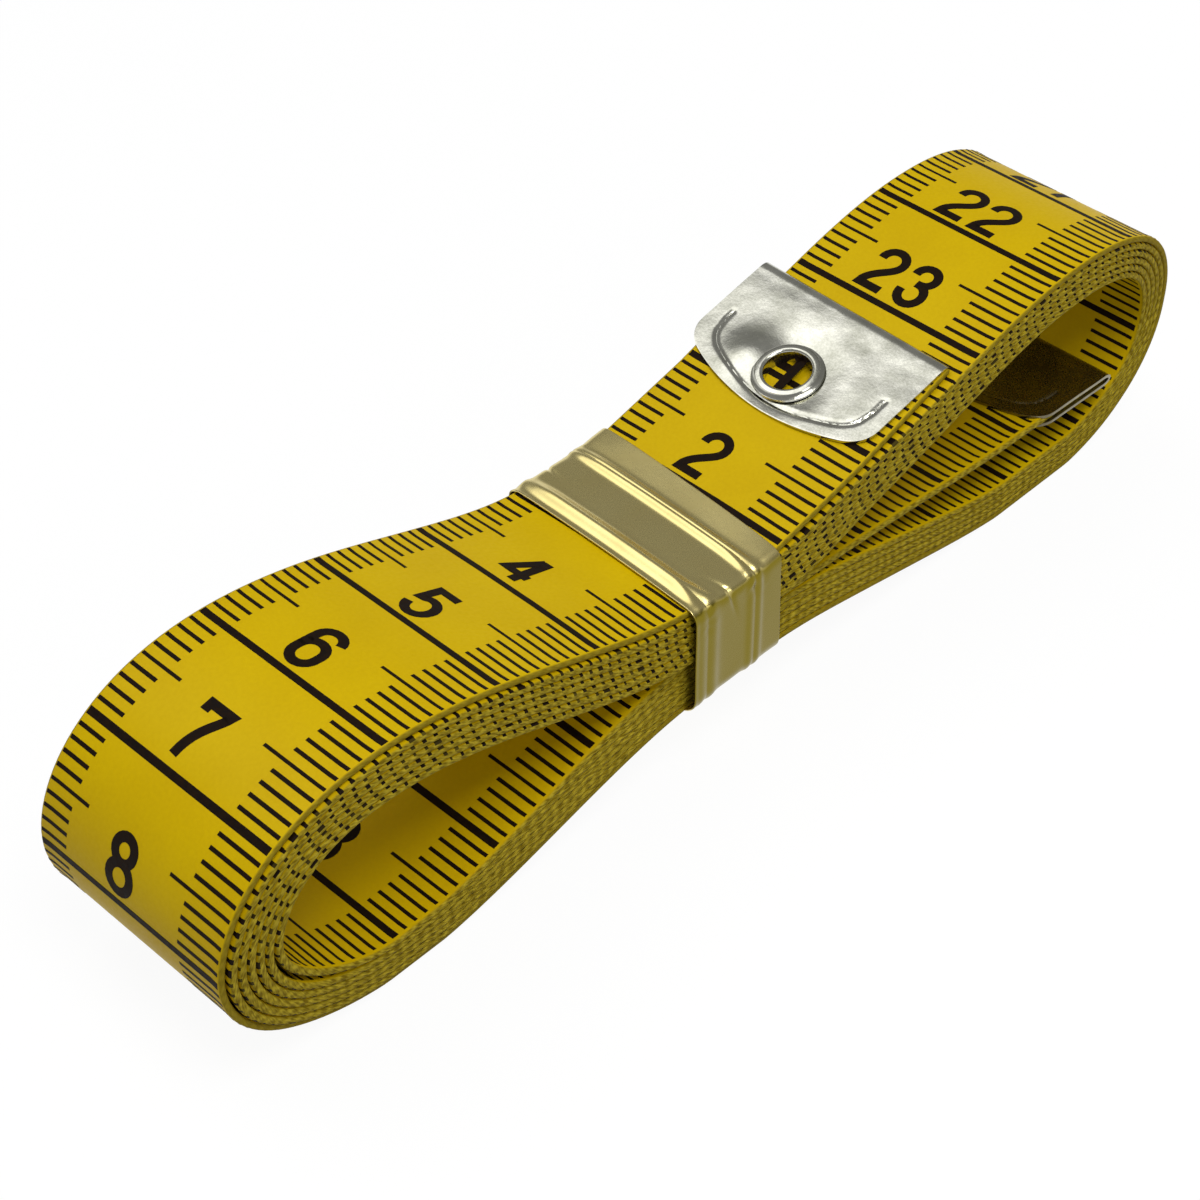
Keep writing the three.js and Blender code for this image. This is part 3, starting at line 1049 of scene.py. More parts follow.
@dataclass(frozen=True)
class Numerals:
    """Condensed bold figures, drawn as strokes of one width in a unit cell."""

    height: float = 4.8
    width: float = 2.75
    stroke: float = 0.74
    gap: float = 0.45
    one_width: float = 1.7
    point_step: float = 0.45
    arc_step: float = 16.0
    least_arc_steps: int = 4
    bend_steps: int = 10
    bowl: float = 0.25
    sharpest: float = 0.6
    least_step: float = 0.001

    def arc(self, cx: float, cy: float, rx: float, ry: float, start: float,
            end: float) -> list[Pair]:
        """Points of an elliptical arc.

        Args:
            cx: Its centre across the cell.
            cy: Its centre up the cell.
            rx: Its radius across.
            ry: Its radius upwards.
            start: Where it starts, in degrees.
            end: Where it ends, in degrees.

        Returns:
            The points, from start to end.
        """
        steps = max(self.least_arc_steps, int(abs(end - start) / self.arc_step))
        angles = [math.radians(start + (end - start) * i / steps) for i in range(steps + 1)]
        return [(cx + rx * math.cos(a), cy + ry * math.sin(a)) for a in angles]

    def bend(self, *controls: Pair) -> list[Pair]:
        """Points of a cubic curve after its first control point."""
        share = np.arange(1, self.bend_steps + 1) / self.bend_steps
        return [tuple(point) for point in cubic(controls, share)]

    def strokes(self, figure: str) -> list[tuple[list, bool]]:
        """Strokes of a figure, in a cell one wide and one high.

        Args:
            figure: The figure.

        Returns:
            Points of each stroke, and whether it is a ring.
        """
        arc, bend = self.arc, self.bend
        ry = self.bowl
        top = arc(0.5, 1 - ry, 0.5, ry, 180, 0)
        six = (arc(0.5, 1 - ry, 0.5, ry, 8, 180) + arc(0.5, ry, 0.5, ry, 180, 360)
               + arc(0.5, 0.37, 0.5, ry, 0, 180))
        shapes = {
            "0": [(top + arc(0.5, ry, 0.5, ry, 0, -180), True)],
            "1": [([(0.0, 0.74), (0.62, 1.0), (0.62, 0.0)], False)],
            "2": [(arc(0.5, 1 - ry, 0.5, ry, 188, -12)
                   + bend((0.99, 0.70), (0.92, 0.46), (0.02, 0.32), (0.0, 0.0)) + [(1.0, 0.0)],
                   False)],
            "3": [(arc(0.5, 0.77, 0.46, 0.23, 188, -90) + [(0.36, 0.54)], False),
                  (arc(0.5, 0.27, 0.5, 0.27, 90, -188), False)],
            "4": [([(0.62, 0.97), (0.0, 0.27), (1.06, 0.27)], False),
                  ([(0.74, 1.0), (0.74, 0.0)], False)],
            "5": [([(0.96, 1.0), (0.1, 1.0), (0.04, 0.54)]
                   + arc(0.5, 0.31, 0.5, 0.31, 128, -172), False)],
            "6": [(six, False)],
            "7": [([(0.0, 0.83), (0.0, 1.0), (1.0, 1.0)]
                   + bend((1.0, 1.0), (0.86, 0.72), (0.34, 0.55), (0.28, 0.0)), False)],
            "8": [(arc(0.5, 0.77, 0.44, 0.23, 90, 450), True),
                  (arc(0.5, 0.27, 0.5, 0.27, 90, 450), True)],
            "9": [([(1 - x, 1 - y) for x, y in six], False)],
        }
        return shapes[figure]

    def outline(self, points: list, ring: bool, cell: float) -> tuple[np.ndarray, np.ndarray]:
        """Both sides of a stroke.

        Args:
            points: The stroke's points in the unit cell.
            ring: True where the stroke closes on itself.
            cell: The figure's width.

        Returns:
            Places on the left and the right side, from the figure's left foot.
        """
        size = np.array([cell - self.stroke, self.height - self.stroke])
        line = np.array(points) * size + self.stroke / 2
        if ring:
            line = line[:-1] if np.allclose(line[0], line[-1]) else line
            line = np.vstack([line, line[:1]])
        steps = np.linalg.norm(np.diff(line, axis=0), axis=1)
        line = line[np.concatenate([[True], steps > self.least_step])]
        fine = [line[0]]
        for a, b in zip(line, line[1:]):
            cuts = max(1, math.ceil(np.linalg.norm(b - a) / self.point_step))
            fine += [a + (b - a) * (i + 1) / cuts for i in range(cuts)]
        line = np.array(fine)
        if ring:
            line[-1] = line[0]
        run = unit(np.diff(line, axis=0))
        before = np.vstack([run[-1:] if ring else run[:1], run])
        after = np.vstack([run, run[:1] if ring else run[-1:]])
        side = unit(turned_left(before + after))
        lean = np.abs((side * turned_left(after)).sum(axis=1))
        side *= (self.stroke / 2 / np.maximum(lean, self.sharpest))[:, None]
        return line + side, line - side

    def number(self, value: int) -> list[tuple[np.ndarray, np.ndarray]]:
        """Sides of every stroke of a number, centred across, with its foot at 0.

        Args:
            value: The number.

        Returns:
            The left and the right side of each stroke.
        """
        cells = [self.one_width if figure == "1" else self.width for figure in str(value)]
        left = -(sum(cells) + self.gap * (len(cells) - 1)) / 2
        sides = []
        for figure, cell in zip(str(value), cells):
            for points, ring in self.strokes(figure):
                first, second = self.outline(points, ring, cell)
                sides.append((first + [left, 0.0], second + [left, 0.0]))
            left += cell + self.gap
        return sides


@dataclass(frozen=True)
class Scale:
    """The printed centimetre scale: its ticks, lines, numbers and the marks on the selvage."""

    length: float = 1500.0
    tick_width: float = 0.3
    half_tick_width: float = 0.26
    line_width: float = 0.58
    near_tick: tuple[float, ...] = (8.8, 8.1, 6.0, 4.9)
    near_half_tick: tuple[float, ...] = (8.8, 8.1, 6.0, 3.1)
    far_tick: tuple[float, ...] = (8.8, 8.1, 6.3)
    far_half_tick: tuple[float, ...] = (8.8, 8.1, 6.0, 5.0)
    line: tuple[float, ...] = (8.8, 8.1, 6.0, 2.5, -2.5, -6.0, -8.1, -8.8)
    number_gap: float = 0.36
    number_across: float = 1.0
    lift: float = 0.02
    sink: float = 0.01
    mark_from: float = 232.0
    mark_uneven: float = 0.5
    mark_grain: Pair = (0.73, 2.3)
    mark_levels: Triple = (0.5, 3.5, 6.5)
    mark_end: float = 0.5
    mark_ends: Pair = (0.1, 0.95)
    inner_end: float = 8.65
    moved_number: tuple[int, float] = (5, 0.75)
    numerals: Numerals = Numerals()

    def millimetres(self, run: TapeRun) -> range:
        """Whole millimetres that a run of tape carries."""
        return range(math.ceil(run.lengths[0] + self.line_width / 2),
                     math.floor(min(run.lengths[-1], self.length) - self.line_width / 2) + 1)


class Ink:
    """Ink on one run of tape, gathered as thin closed slabs."""

    # Way out of the tape at three places over its rim, across and through
    RIM_OUT = ((0.0, 1.0), (0.6, 0.8), (1.0, 0.2))

    def __init__(self, run: TapeRun, scale: Scale) -> None:
        """Start with no ink.

        Args:
            run: The tape that is printed on.
            scale: What is printed.
        """
        self.run = run
        self.scale = scale
        self.points: list[np.ndarray] = []
        self.amounts: list[np.ndarray] = []
        self.faces: list[list[int]] = []
        self.count = 0

    def slab(self, rows: int, columns: int) -> list[list[int]]:
        """Faces of a closed slab over a grid, its top layer numbered before its bottom one.

        Args:
            rows: Rows of the grid.
            columns: Columns of the grid.

        Returns:
            Vertex numbers of each face.
        """
        below = rows * columns
        faces = []
        for r in range(rows - 1):
            for c in range(columns - 1):
                a = r * columns + c
                top = [a, a + 1, a + columns + 1, a + columns]
                faces += [top, [below + i for i in reversed(top)]]
        rim = list(range(columns))
        rim += [r * columns + columns - 1 for r in range(1, rows)]
        rim += [(rows - 1) * columns + c for c in range(columns - 2, -1, -1)]
        rim += [r * columns for r in range(rows - 2, 0, -1)]
        faces += [[b, a, below + a, below + b] for a, b in zip(rim, rim[1:] + rim[:1])]
        return faces

    def add(self, top: np.ndarray, bottom: np.ndarray, rows: int, columns: int,
            amount: float = 1.0) -> None:
        """Add a slab from the places of its two layers.

        Args:
            top: Places of its top layer: along, across and through the tape.
            bottom: Places of its bottom layer.
            rows: Rows of its grid.
            columns: Columns of its grid.
            amount: How much ink it holds, from 0 to 1.
        """
        self.faces += [[self.count + i for i in face] for face in self.slab(rows, columns)]
        self.points += [top, bottom]
        self.count += 2 * rows * columns
        self.amounts.append(np.full(2 * rows * columns, amount))

    def on_face(self, along: np.ndarray, across: np.ndarray, face: Face) -> None:
        """Print a grid of places on one of the tape's faces.

        Args:
            along: Lengths along the tape, rows by columns.
            across: Places across it, in the same shape.
            face: The face printed on.
        """
        rows, columns = along.shape
        a, y = along.ravel(), across.ravel()
        depth = self.run.half_depth(a, y)
        layers = [np.column_stack([a, y, face.value * (depth + off)])
                  for off in (self.scale.lift, -self.scale.sink)]
        self.add(*layers, rows, columns)

    def bar(self, middle: float, width: float, stations: Sequence[float], side: int,
            face: Face) -> None:
        """Print a straight bar across the tape.

        Args:
            middle: Length along the tape at its middle.
            width: Its width.
            stations: Places across the tape that it runs through.
            side: 1 for the far side, or -1 for the near one.
            face: The face printed on.
        """
        end = self.scale.inner_end if face is Face.INNER else stations[0]
        across = side * np.clip(np.array(stations), -end, end)
        along = np.array([middle - width / 2, middle + width / 2])
        self.on_face(*np.meshgrid(along, across, indexing="ij"), face)

    def mark(self, middle: float, width: float, side: int) -> None:
        """Print the end of a tick, where its ink runs unevenly over the outer face's rim.

        Args:
            middle: Length along the tape at the tick's middle.
            width: The tick's width.
            side: 1 for the far side, or -1 for the near one.
        """
        stock, scale = self.run.stock, self.scale
        half = self.run.half_depth(np.array([middle]), np.array([stock.half]))[0]
        spread, reach, faded = (
            noise.noise(Vector((middle * scale.mark_grain[0], side * scale.mark_grain[1], level)))
            for level in scale.mark_levels)
        width *= 1.0 + scale.mark_uneven * spread
        least, most = scale.mark_ends
        end = min(max(scale.mark_end + 2 * scale.mark_uneven * reach, least), most)
        rim_y, rim_share = stock.corner
        past = (rim_y + (stock.half - rim_y) * end,
                rim_share + (stock.edge_share - rim_share) * end)
        line = [(stock.stations[-1], 1.0), stock.corner, past]
        layers = []
        for off in (scale.lift, -scale.sink):
            layers.append(np.array([
                [middle + along * width / 2, side * (y + off * out_y), share * half + off * out_z]
                for along in (-1, 1) for (y, share), (out_y, out_z) in zip(line, self.RIM_OUT)]))
        self.add(*layers, 2, len(line), 1.0 - scale.mark_uneven * max(faded, 0.0))

    def number(self, value: int, foot: float, face: Face, turned: bool) -> None:
        """Print a number whose foot is at a length along the tape.

        Args:
            value: The number.
            foot: Length along the tape at its foot.
            face: The face printed on.
            turned: True where its top points to the tape's high end.
        """
        way = 1 if turned else -1
        moved, place = self.scale.moved_number
        middle = place if value == moved else self.scale.number_across
        for first, second in self.scale.numerals.number(value):
            pair = np.stack([first, second], axis=1)
            across = middle - pair[:, :, 0] * -way * face.value
            self.on_face(foot + way * pair[:, :, 1], across, face)

    def mesh(self, name: str, material: bpy.types.Material) -> bpy.types.Object:
        """Make one object of all the ink gathered.

        Args:
            name: The object's name.
            material: The ink.

        Returns:
            The print.
        """
        points = np.vstack(self.points)
        made = to_object(name, self.run.place(points[:, 0], points[:, 1], points[:, 2]), self.faces)
        attribute = made.data.attributes.new(INK, "FLOAT", "POINT")
        attribute.data.foreach_set("value", np.concatenate(self.amounts).astype(np.float32))
        made.data.materials.append(material)
        return made

    def ticks(self, face: Face) -> None:
        """Print every tick and centimetre line on one face.

        Args:
            face: The face printed on.
        """
        scale = self.scale
        for mm in scale.millimetres(self.run):
            if mm % 10 == 0:
                self.bar(mm, scale.line_width, scale.line, 1, face)
            elif mm % 5 == 0:
                self.bar(mm, scale.half_tick_width, scale.near_half_tick, -1, face)
                self.bar(mm, scale.half_tick_width, scale.far_half_tick, 1, face)
            else:
                self.bar(mm, scale.tick_width, scale.near_tick, -1, face)
                self.bar(mm, scale.tick_width, scale.far_tick, 1, face)

    def numbers(self, face: Face) -> None:
        """Print the number of each centimetre on one face; the inner one counts back.

        Args:
            face: The face printed on.
        """
        scale = self.scale
        height, last = scale.numerals.height, int(scale.length / 10)
        reach = scale.number_gap + scale.line_width / 2
        low, high = self.run.lengths[0], self.run.lengths[-1]
        for centimetre in range(1, last):
            if face is Face.OUTER:
                foot = 10.0 * centimetre - reach
                if low < foot - height and foot < high:
                    self.number(centimetre, foot, face, False)
            else:
                foot = 10.0 * centimetre + reach
                if low < foot and foot + height < high:
                    self.number(last - centimetre, foot, face, True)

    def marks(self) -> None:
        """Print the ends of the outer face's ticks over both rims, but not on the first turn."""
        scale = self.scale
        for mm in (mm for mm in scale.millimetres(self.run) if mm > scale.mark_from):
            width = scale.line_width if mm % 10 == 0 else scale.tick_width
            for side in (-1, 1):
                self.mark(mm, width, side)


# The tips and the eyelet


@dataclass(frozen=True)
class FoldedTip:
    """A tip of sheet metal folded over an end of the tape, with a rounded back and a groove."""

    name: str
    place: Triple
    slope: float
    yaw: float
    bored: bool
    tape_thickness: float = TapeStock.thickness
    width: float = 18.5
    reach: float = 11.35
    end_radius: float = 19.0
    end_middle: float = -0.5
    corner: float = 1.7
    fold_back: float = 0.44
    fold_radius: float = 0.8
    sheet: float = 0.28
    slack: float = 0.04
    upper_rows: int = 92
    fold_rows: int = 12
    lower_rows: int = 20
    columns: int = 120
    groove_inset: float = 1.05
    groove_side: float = 1.5
    groove_depth: float = 0.13
    groove_width: float = 0.2
    groove_end: float = 5.2
    eyelet_back: float = 7.42
    dish_depth: float = 0.2
    dish_radius: float = 3.7
    swell: tuple[float, float, float, float] = (7.8, 3.4, 2.2, 0.38)
    wave: float = 0.05
    bore_radius: float = 2.12
    rim_bevel: float = 0.05
    bore_sides: int = 64
    groove_points: int = 61
    dish_power: int = 4
    wave_grain: Triple = (0.22, 0.16, 3.7)
    stamp_fade: float = 1.5

    @property
    def mid(self) -> float:
        """Distance of the sheet's middle from the tape's middle layer."""
        return self.tape_thickness / 2 + self.slack + self.sheet / 2

    @property
    def top(self) -> float:
        """Height of the tip's upper face over the tape's middle layer."""
        return self.mid + self.sheet / 2

    def back(self, y: np.ndarray) -> np.ndarray:
        """How far back the tip reaches.

        Args:
            y: Places across it.

        Returns:
            Distances back from the tape's end.
        """
        half = self.width / 2
        turn = half - self.corner

        def arc(place: np.ndarray) -> np.ndarray:
            """The rounded end without its corners."""
            return self.reach - self.end_radius + np.sqrt(
                self.end_radius ** 2 - (place - self.end_middle) ** 2)

        way = np.where(y < 0, -1.0, 1.0)
        away = np.minimum(np.abs(y), half)
        side, at_turn = arc(way * half), arc(way * turn)
        f = np.sqrt(np.clip((half - away) / (half - turn), 0, 1))
        rounded = (1 - f) ** 2 * (side - self.corner) + 2 * f * (1 - f) * side + f ** 2 * at_turn
        return np.where(away > turn, rounded, arc(y))

    def groove_line(self) -> np.ndarray:
        """Middle of the stamped groove.

        Returns:
            Places back from the tape's end and across the tip.
        """
        inner = self.width / 2 - self.groove_side
        y = np.linspace(-inner, inner, self.groove_points)
        back = self.back(y * self.width / 2 / inner) - self.groove_inset
        ends = np.array([[self.groove_end, side * inner] for side in (-1, 1)])
        return np.vstack([ends[:1], np.column_stack([back, y]), ends[1:]])

    def relief(self, back: np.ndarray, y: np.ndarray) -> np.ndarray:
        """Height of the upper leaf's groove, dish, swell and waves over a flat leaf.

        Args:
            back: Places back from the tape's end.
            y: Places across the tip.

        Returns:
            The heights.
        """
        line = self.groove_line()
        away = np.full(len(y), np.inf)
        points = np.column_stack([back, y])
        for a, b in zip(line, line[1:]):
            along = b - a
            share = np.clip(((points - a) @ along) / (along @ along), 0, 1)
            away = np.minimum(away, np.linalg.norm(points - a - share[:, None] * along, axis=1))
        groove = -self.groove_depth * np.exp(-(away / self.groove_width) ** 2)
        from_eyelet = np.hypot(back - self.eyelet_back, y)
        dish = -self.dish_depth * np.exp(-(from_eyelet / self.dish_radius) ** self.dish_power)
        at_back, at_y, radius, height = self.swell
        swell = height * np.exp(-((back - at_back) ** 2 + (y - at_y) ** 2) / radius ** 2)
        by_back, by_y, level = self.wave_grain
        waves = noise_at(back * by_back, y * by_y, level)
        return groove + (dish + swell) * self.bored + self.wave * waves

    def build(self, material: bpy.types.Material) -> bpy.types.Object:
        """Bend a flat grid round the fold, stamp it and put it in place.

        Args:
            material: The tip's metal.

        Returns:
            The tip.
        """
        rows = self.upper_rows + self.fold_rows + self.lower_rows
        bpy.ops.object.select_all(action="DESELECT")
        bpy.ops.mesh.primitive_grid_add(x_subdivisions=rows, y_subdivisions=self.columns, size=2)
        made = adopt(self.name)
        flat = read_places(made) * MM
        step = (flat[:, 0] + 1) / 2 * rows
        y = self.width / 2 * np.sin(flat[:, 1] * math.pi / 2)
        reach = self.back(y)
        upper = step < self.upper_rows
        fold = (~upper) & (step <= self.upper_rows + self.fold_rows)
        flat_part = reach - self.fold_back
        up_back = self.fold_back + flat_part * (1 - step / self.upper_rows)
        angle = math.pi * np.clip((step - self.upper_rows) / self.fold_rows, 0, 1)
        low_back = self.fold_back + flat_part * (
            step - self.upper_rows - self.fold_rows) / self.lower_rows
        folded = self.fold_radius * np.sin(angle) - self.fold_back
        x = np.where(upper, -up_back, np.where(fold, folded, -low_back))
        z = np.where(upper, self.mid, np.where(fold, self.mid * np.cos(angle), -self.mid))
        ease = smooth((up_back - self.fold_back) / self.stamp_fade)
        z = z + np.where(upper, self.relief(up_back, y) * ease, 0.0)
        write_places(made, np.column_stack([x, y, z]))
        face_outwards(made)
        finish_edges(made, self.sheet, self.rim_bevel)
        if self.bored:
            cut_through(made, self.cutter())
        self.put(made)
        made.data.materials.clear()
        made.data.materials.append(material)
        return made

    def cutter(self) -> bpy.types.Object:
        """Add a rod where the eyelet's hole goes, before the tip is put in its place.

        Returns:
            The rod.
        """
        bpy.ops.object.select_all(action="DESELECT")
        bpy.ops.mesh.primitive_cylinder_add(
            vertices=self.bore_sides, radius=self.bore_radius * MM, depth=4 * self.top * MM,
            location=(-self.eyelet_back * MM, 0, 0))
        rod = bpy.context.active_object
        bpy.ops.object.transform_apply(location=True, rotation=False, scale=False)
        return rod

    def put(self, made: bpy.types.Object) -> None:
        """Turn and move a piece made at the tape's end to where that end lies.

        Args:
            made: The piece.
        """
        turn = (Matrix.Translation(Vector(self.place) * MM) @ Matrix.Rotation(self.yaw, 4, "Z")
                @ Matrix.Rotation(-self.slope, 4, "Y"))
        made.data.transform(turn)
        made.data.update()


@dataclass(frozen=True)
class Eyelet:
    """The eyelet: a barrel with a rolled flange above the tip and a flat edge below it."""

    tip: FoldedTip
    bore: float = 3.75
    wall: float = 0.22
    flange: float = 5.75
    roll_height: float = 0.5
    under_flange: float = 5.2
    under_height: float = 0.2
    sides: int = 72
    seat_sink: float = 0.02
    under_gap: float = 0.01
    roll: float = 0.3
    roll_points: int = 9
    roll_rise_share: float = 0.45
    roll_foot: Pair = (0.28, 0.86)
    weld: float = 0.002
    smooth_angle: float = math.radians(40)

    # The flange's outer points: place in from its edge, and height over the seat
    FLANGE = ((0.3, 0.26), (0.06, 0.16), (0.0, 0.04), (0.08, -0.03))

    def profile(self) -> list[Pair]:
        """Outline that is turned to make the eyelet, closed on itself.

        Returns:
            Radius and height of each of its points.
        """
        bore, barrel = self.bore / 2, self.bore / 2 + self.wall
        flange, seat = self.flange / 2, self.tip.top - self.seat_sink
        crest = bore + self.roll
        rolled = []
        for i in range(self.roll_points):
            angle = math.pi * (1 - i / 2 / (self.roll_points - 1))
            rise = 1 - self.roll_rise_share * (1 - math.sin(angle))
            rolled.append((crest + self.roll * math.cos(angle), seat + self.roll_height * rise))
        foot, foot_rise = self.roll_foot
        slope = [(crest + foot, seat + self.roll_height * foot_rise)]
        slope += [(flange - inset, seat + rise) for inset, rise in self.FLANGE]
        under, low = self.under_flange / 2, -self.tip.top
        middle = low - self.under_height / 2
        return rolled + slope + [
            (barrel, slope[-1][1]), (barrel, low - self.under_gap), (under, low - self.under_gap),
            (under, middle), (barrel, low - self.under_height), (bore, middle)]

    def build(self, material: bpy.types.Material) -> bpy.types.Object:
        """Turn the profile by drawing a circle out ring by ring.

        Args:
            material: The eyelet's metal.

        Returns:
            The eyelet, in place in its tip.
        """
        profile = self.profile()
        radius, height = profile[0]
        bpy.ops.object.select_all(action="DESELECT")
        bpy.ops.mesh.primitive_circle_add(vertices=self.sides, radius=radius * MM,
                                          location=(0, 0, height * MM))
        made = adopt("outer_eyelet_ring")
        bpy.ops.object.transform_apply(location=True, rotation=False, scale=False)
        bpy.ops.object.mode_set(mode="EDIT")
        bpy.ops.mesh.select_all(action="SELECT")
        for (r0, z0), (r1, z1) in zip(profile, profile[1:] + profile[:1]):
            bpy.ops.mesh.extrude_region_move(
                TRANSFORM_OT_translate={"value": (0, 0, (z1 - z0) * MM)})
            bpy.ops.transform.resize(value=(r1 / r0, r1 / r0, 1), center_override=(0, 0, 0))
        bpy.ops.object.mode_set(mode="OBJECT")
        face_outwards(made, self.weld)
        bpy.ops.object.shade_smooth_by_angle(angle=self.smooth_angle)
        made.data.transform(Matrix.Translation((-self.tip.eyelet_back * MM, 0, 0)))
        self.tip.put(made)
        made.data.materials.append(material)
        return made


# The band


@dataclass(frozen=True)
class FoilBand:
    """The foil band: a thin loop round both stacks, with two ridges that fork at a corner."""

    winding: Winding
    left: float = -8.2
    right: float = 1.6
    shift: float = -0.36
    half_width: float = 9.56
    top: float = 15.4
    bottom: float = 5.0
    crown: float = 0.26
    corner: float = 1.15
    low_corner: float = 1.9
    squareness: float = 2.8
    lean: Pair = (0.46, 0.2)
    skew: float = 0.04
    strip_from: float = -1.3
    strip_slack: float = 0.13
    sheet: float = 0.13
    rings: int = 110
    top_count: int = 76
    corner_count: int = 18
    side_count: int = 30
    first_ridge: Triple = (1.35, 0.6, 0.45)
    second_ridge: Triple = (6.6, 0.38, 0.3)
    first_fork: Pair = (0.0, 0.6)
    second_fork: Pair = (0.17, 0.45)
    fork_reach: Pair = (6.0, 9.8)
    side_share: float = 0.35
    panel_crease: Triple = (3.9, 0.22, 0.14)
    pull: float = 0.55
    lip: float = 0.06
    bottom_wave: float = 0.16
    wrinkle: float = 0.03
    wrinkle_grain: Triple = (0.3, 0.22, 1.3)
    pinch: float = 0.2
    pinch_grain: Triple = (0.7, 0.75, 8.1)
    pinch_reach: float = 1.1
    corner_share: float = 0.2
    corner_reach: float = 1.5
    edge_roll: Pair = (0.1, 0.3)
    crease_slant: float = 0.3
    near_fade: Pair = (2.0, 10.0)
    edge_power: int = 5
    low_reach: float = 3.0
    wave_grain: Triple = (0.4, 2.7, 0.4)
    crown_power: float = 2.5
    strip_fade: Pair = (3.0, 2.5)
    lip_reach: float = 2.0
    rim_share: float = 0.3
    smooth_angle: float = 50.0

    def section(self) -> tuple[np.ndarray, np.ndarray]:
        """Outline of the loop in the YZ plane, from the foot of its far side.

        Returns:
            Its points and its outward normals.
        """
        half, radius, low_radius = self.half_width, self.corner, self.low_corner
        points, normals = [], []

        def side(start: Pair, end: Pair, normal: Pair, count: int) -> None:
            """Add a straight side.

            Args:
                start: Its first point.
                end: Its last point, which isn't added.
                normal: Its outward normal.
                count: How many points it takes.
            """
            for i in range(count):
                f = i / count
                points.append((start[0] + (end[0] - start[0]) * f,
                               start[1] + (end[1] - start[1]) * f))
                normals.append(normal)

        def bend(cy: float, cz: float, start: float, round_by: float) -> None:
            """Add a quarter turn, squarer than a circle at the upper corners.

            Args:
                cy: Its centre across the band.
                cz: Its centre's height.
                start: Where it starts, in degrees.
                round_by: Its radius.
            """
            power = 2 / self.squareness if round_by == radius else 1.0
            for i in range(self.corner_count):
                angle = math.radians(start + 90 * i / self.corner_count)
                across, up = math.cos(angle), math.sin(angle)
                points.append((cy + math.copysign(abs(across) ** power, across) * round_by,
                               cz + math.copysign(abs(up) ** power, up) * round_by))
                normals.append((across, up))

        inner, high = half - radius, self.top - radius
        low_inner, low = half - low_radius, self.bottom + low_radius
        side((half, low), (half, high), (1, 0), self.side_count)
        bend(inner, high, 0, radius)
        side((inner, self.top), (-inner, self.top), (0, 1), self.top_count)
        bend(-inner, high, 90, radius)
        side((-half, high), (-half, low), (-1, 0), self.side_count)
        bend(-low_inner, low, 180, low_radius)
        side((-low_inner, self.bottom), (low_inner, self.bottom), (0, -1), self.top_count // 2)
        bend(low_inner, low, 270, low_radius)
        return np.array(points), np.array(normals)

    def reach_round(self, outline: np.ndarray) -> np.ndarray:
        """Distance of each point of the outline, round the loop, from the middle of its top.

        Args:
            outline: The loop's outline.

        Returns:
            The distances.
        """
        steps = np.linalg.norm(np.diff(np.vstack([outline, outline[:1]]), axis=0), axis=1)
        at = np.concatenate([[0.0], np.cumsum(steps)[:-1]])
        middle = at[self.side_count + self.corner_count + self.top_count // 2]
        away = np.abs(at - middle)
        return np.minimum(away, steps.sum() - away)

    def ridge(self, along: np.ndarray, away: np.ndarray, near: np.ndarray,
              shape: Triple, fork: Pair) -> np.ndarray:
        """Height of one ridge, whose crest forks as it nears the corner on the near side.

        Args:
            along: Distances from the band's left edge.
            away: Distances round the loop from the middle of its top.
            near: True on the near side.
            shape: The crest's place, half the ridge's width, and its height.
            fork: Half the gap between the two crests, on the top and at the corner.

        Returns:
            The ridge's height.
        """
        middle, half, height = shape
        start, end = self.fork_reach
        share = smooth((away - start) / (end - start))
        gap = fork[0] + (fork[1] - fork[0]) * share * near
        crests = np.maximum(np.exp(-((along - middle - gap) / half) ** 2),
                            np.exp(-((along - middle + gap) / half) ** 2))
        return height * crests * (1.0 - (1.0 - self.side_share) * share)

    def height(self, along: np.ndarray, away: np.ndarray, near: np.ndarray) -> np.ndarray:
        """Height of the ridges, rolled edge, crease and small wrinkles over the plain loop.

        Args:
            along: Distances from the band's left edge.
            away: Distances round the loop from the middle of its top.
            near: True on the near side.

        Returns:
            The heights.
        """
        corner_at = self.half_width + self.corner * self.corner_share
        corner = np.exp(-((away - corner_at) / self.corner_reach) ** 2)
        raised = (self.ridge(along, away, near, self.first_ridge, self.first_fork)
                  + self.ridge(along, away, near, self.second_ridge, self.second_fork))
        roll, roll_reach = self.edge_roll
        rolled = roll * np.exp(-(along / roll_reach) ** 2)
        place, half, depth = self.panel_crease
        crossing = along - place - self.crease_slant * (away - corner_at)
        crease = -depth * np.exp(-(crossing / half) ** 2) * corner
        by_along, by_away, level = self.wrinkle_grain
        soft = noise_at(along * by_along, away * by_away, level)
        by_along, by_away, level = self.pinch_grain
        facet = np.abs(noise_at(along * by_along, away * by_away, level))
        near_ridge = sum(np.exp(-((along - shape[0]) / self.pinch_reach) ** 2)
                         for shape in (self.first_ridge, self.second_ridge))
        return (raised + rolled + crease + self.wrinkle * soft
                - self.pinch * facet * corner * near_ridge)

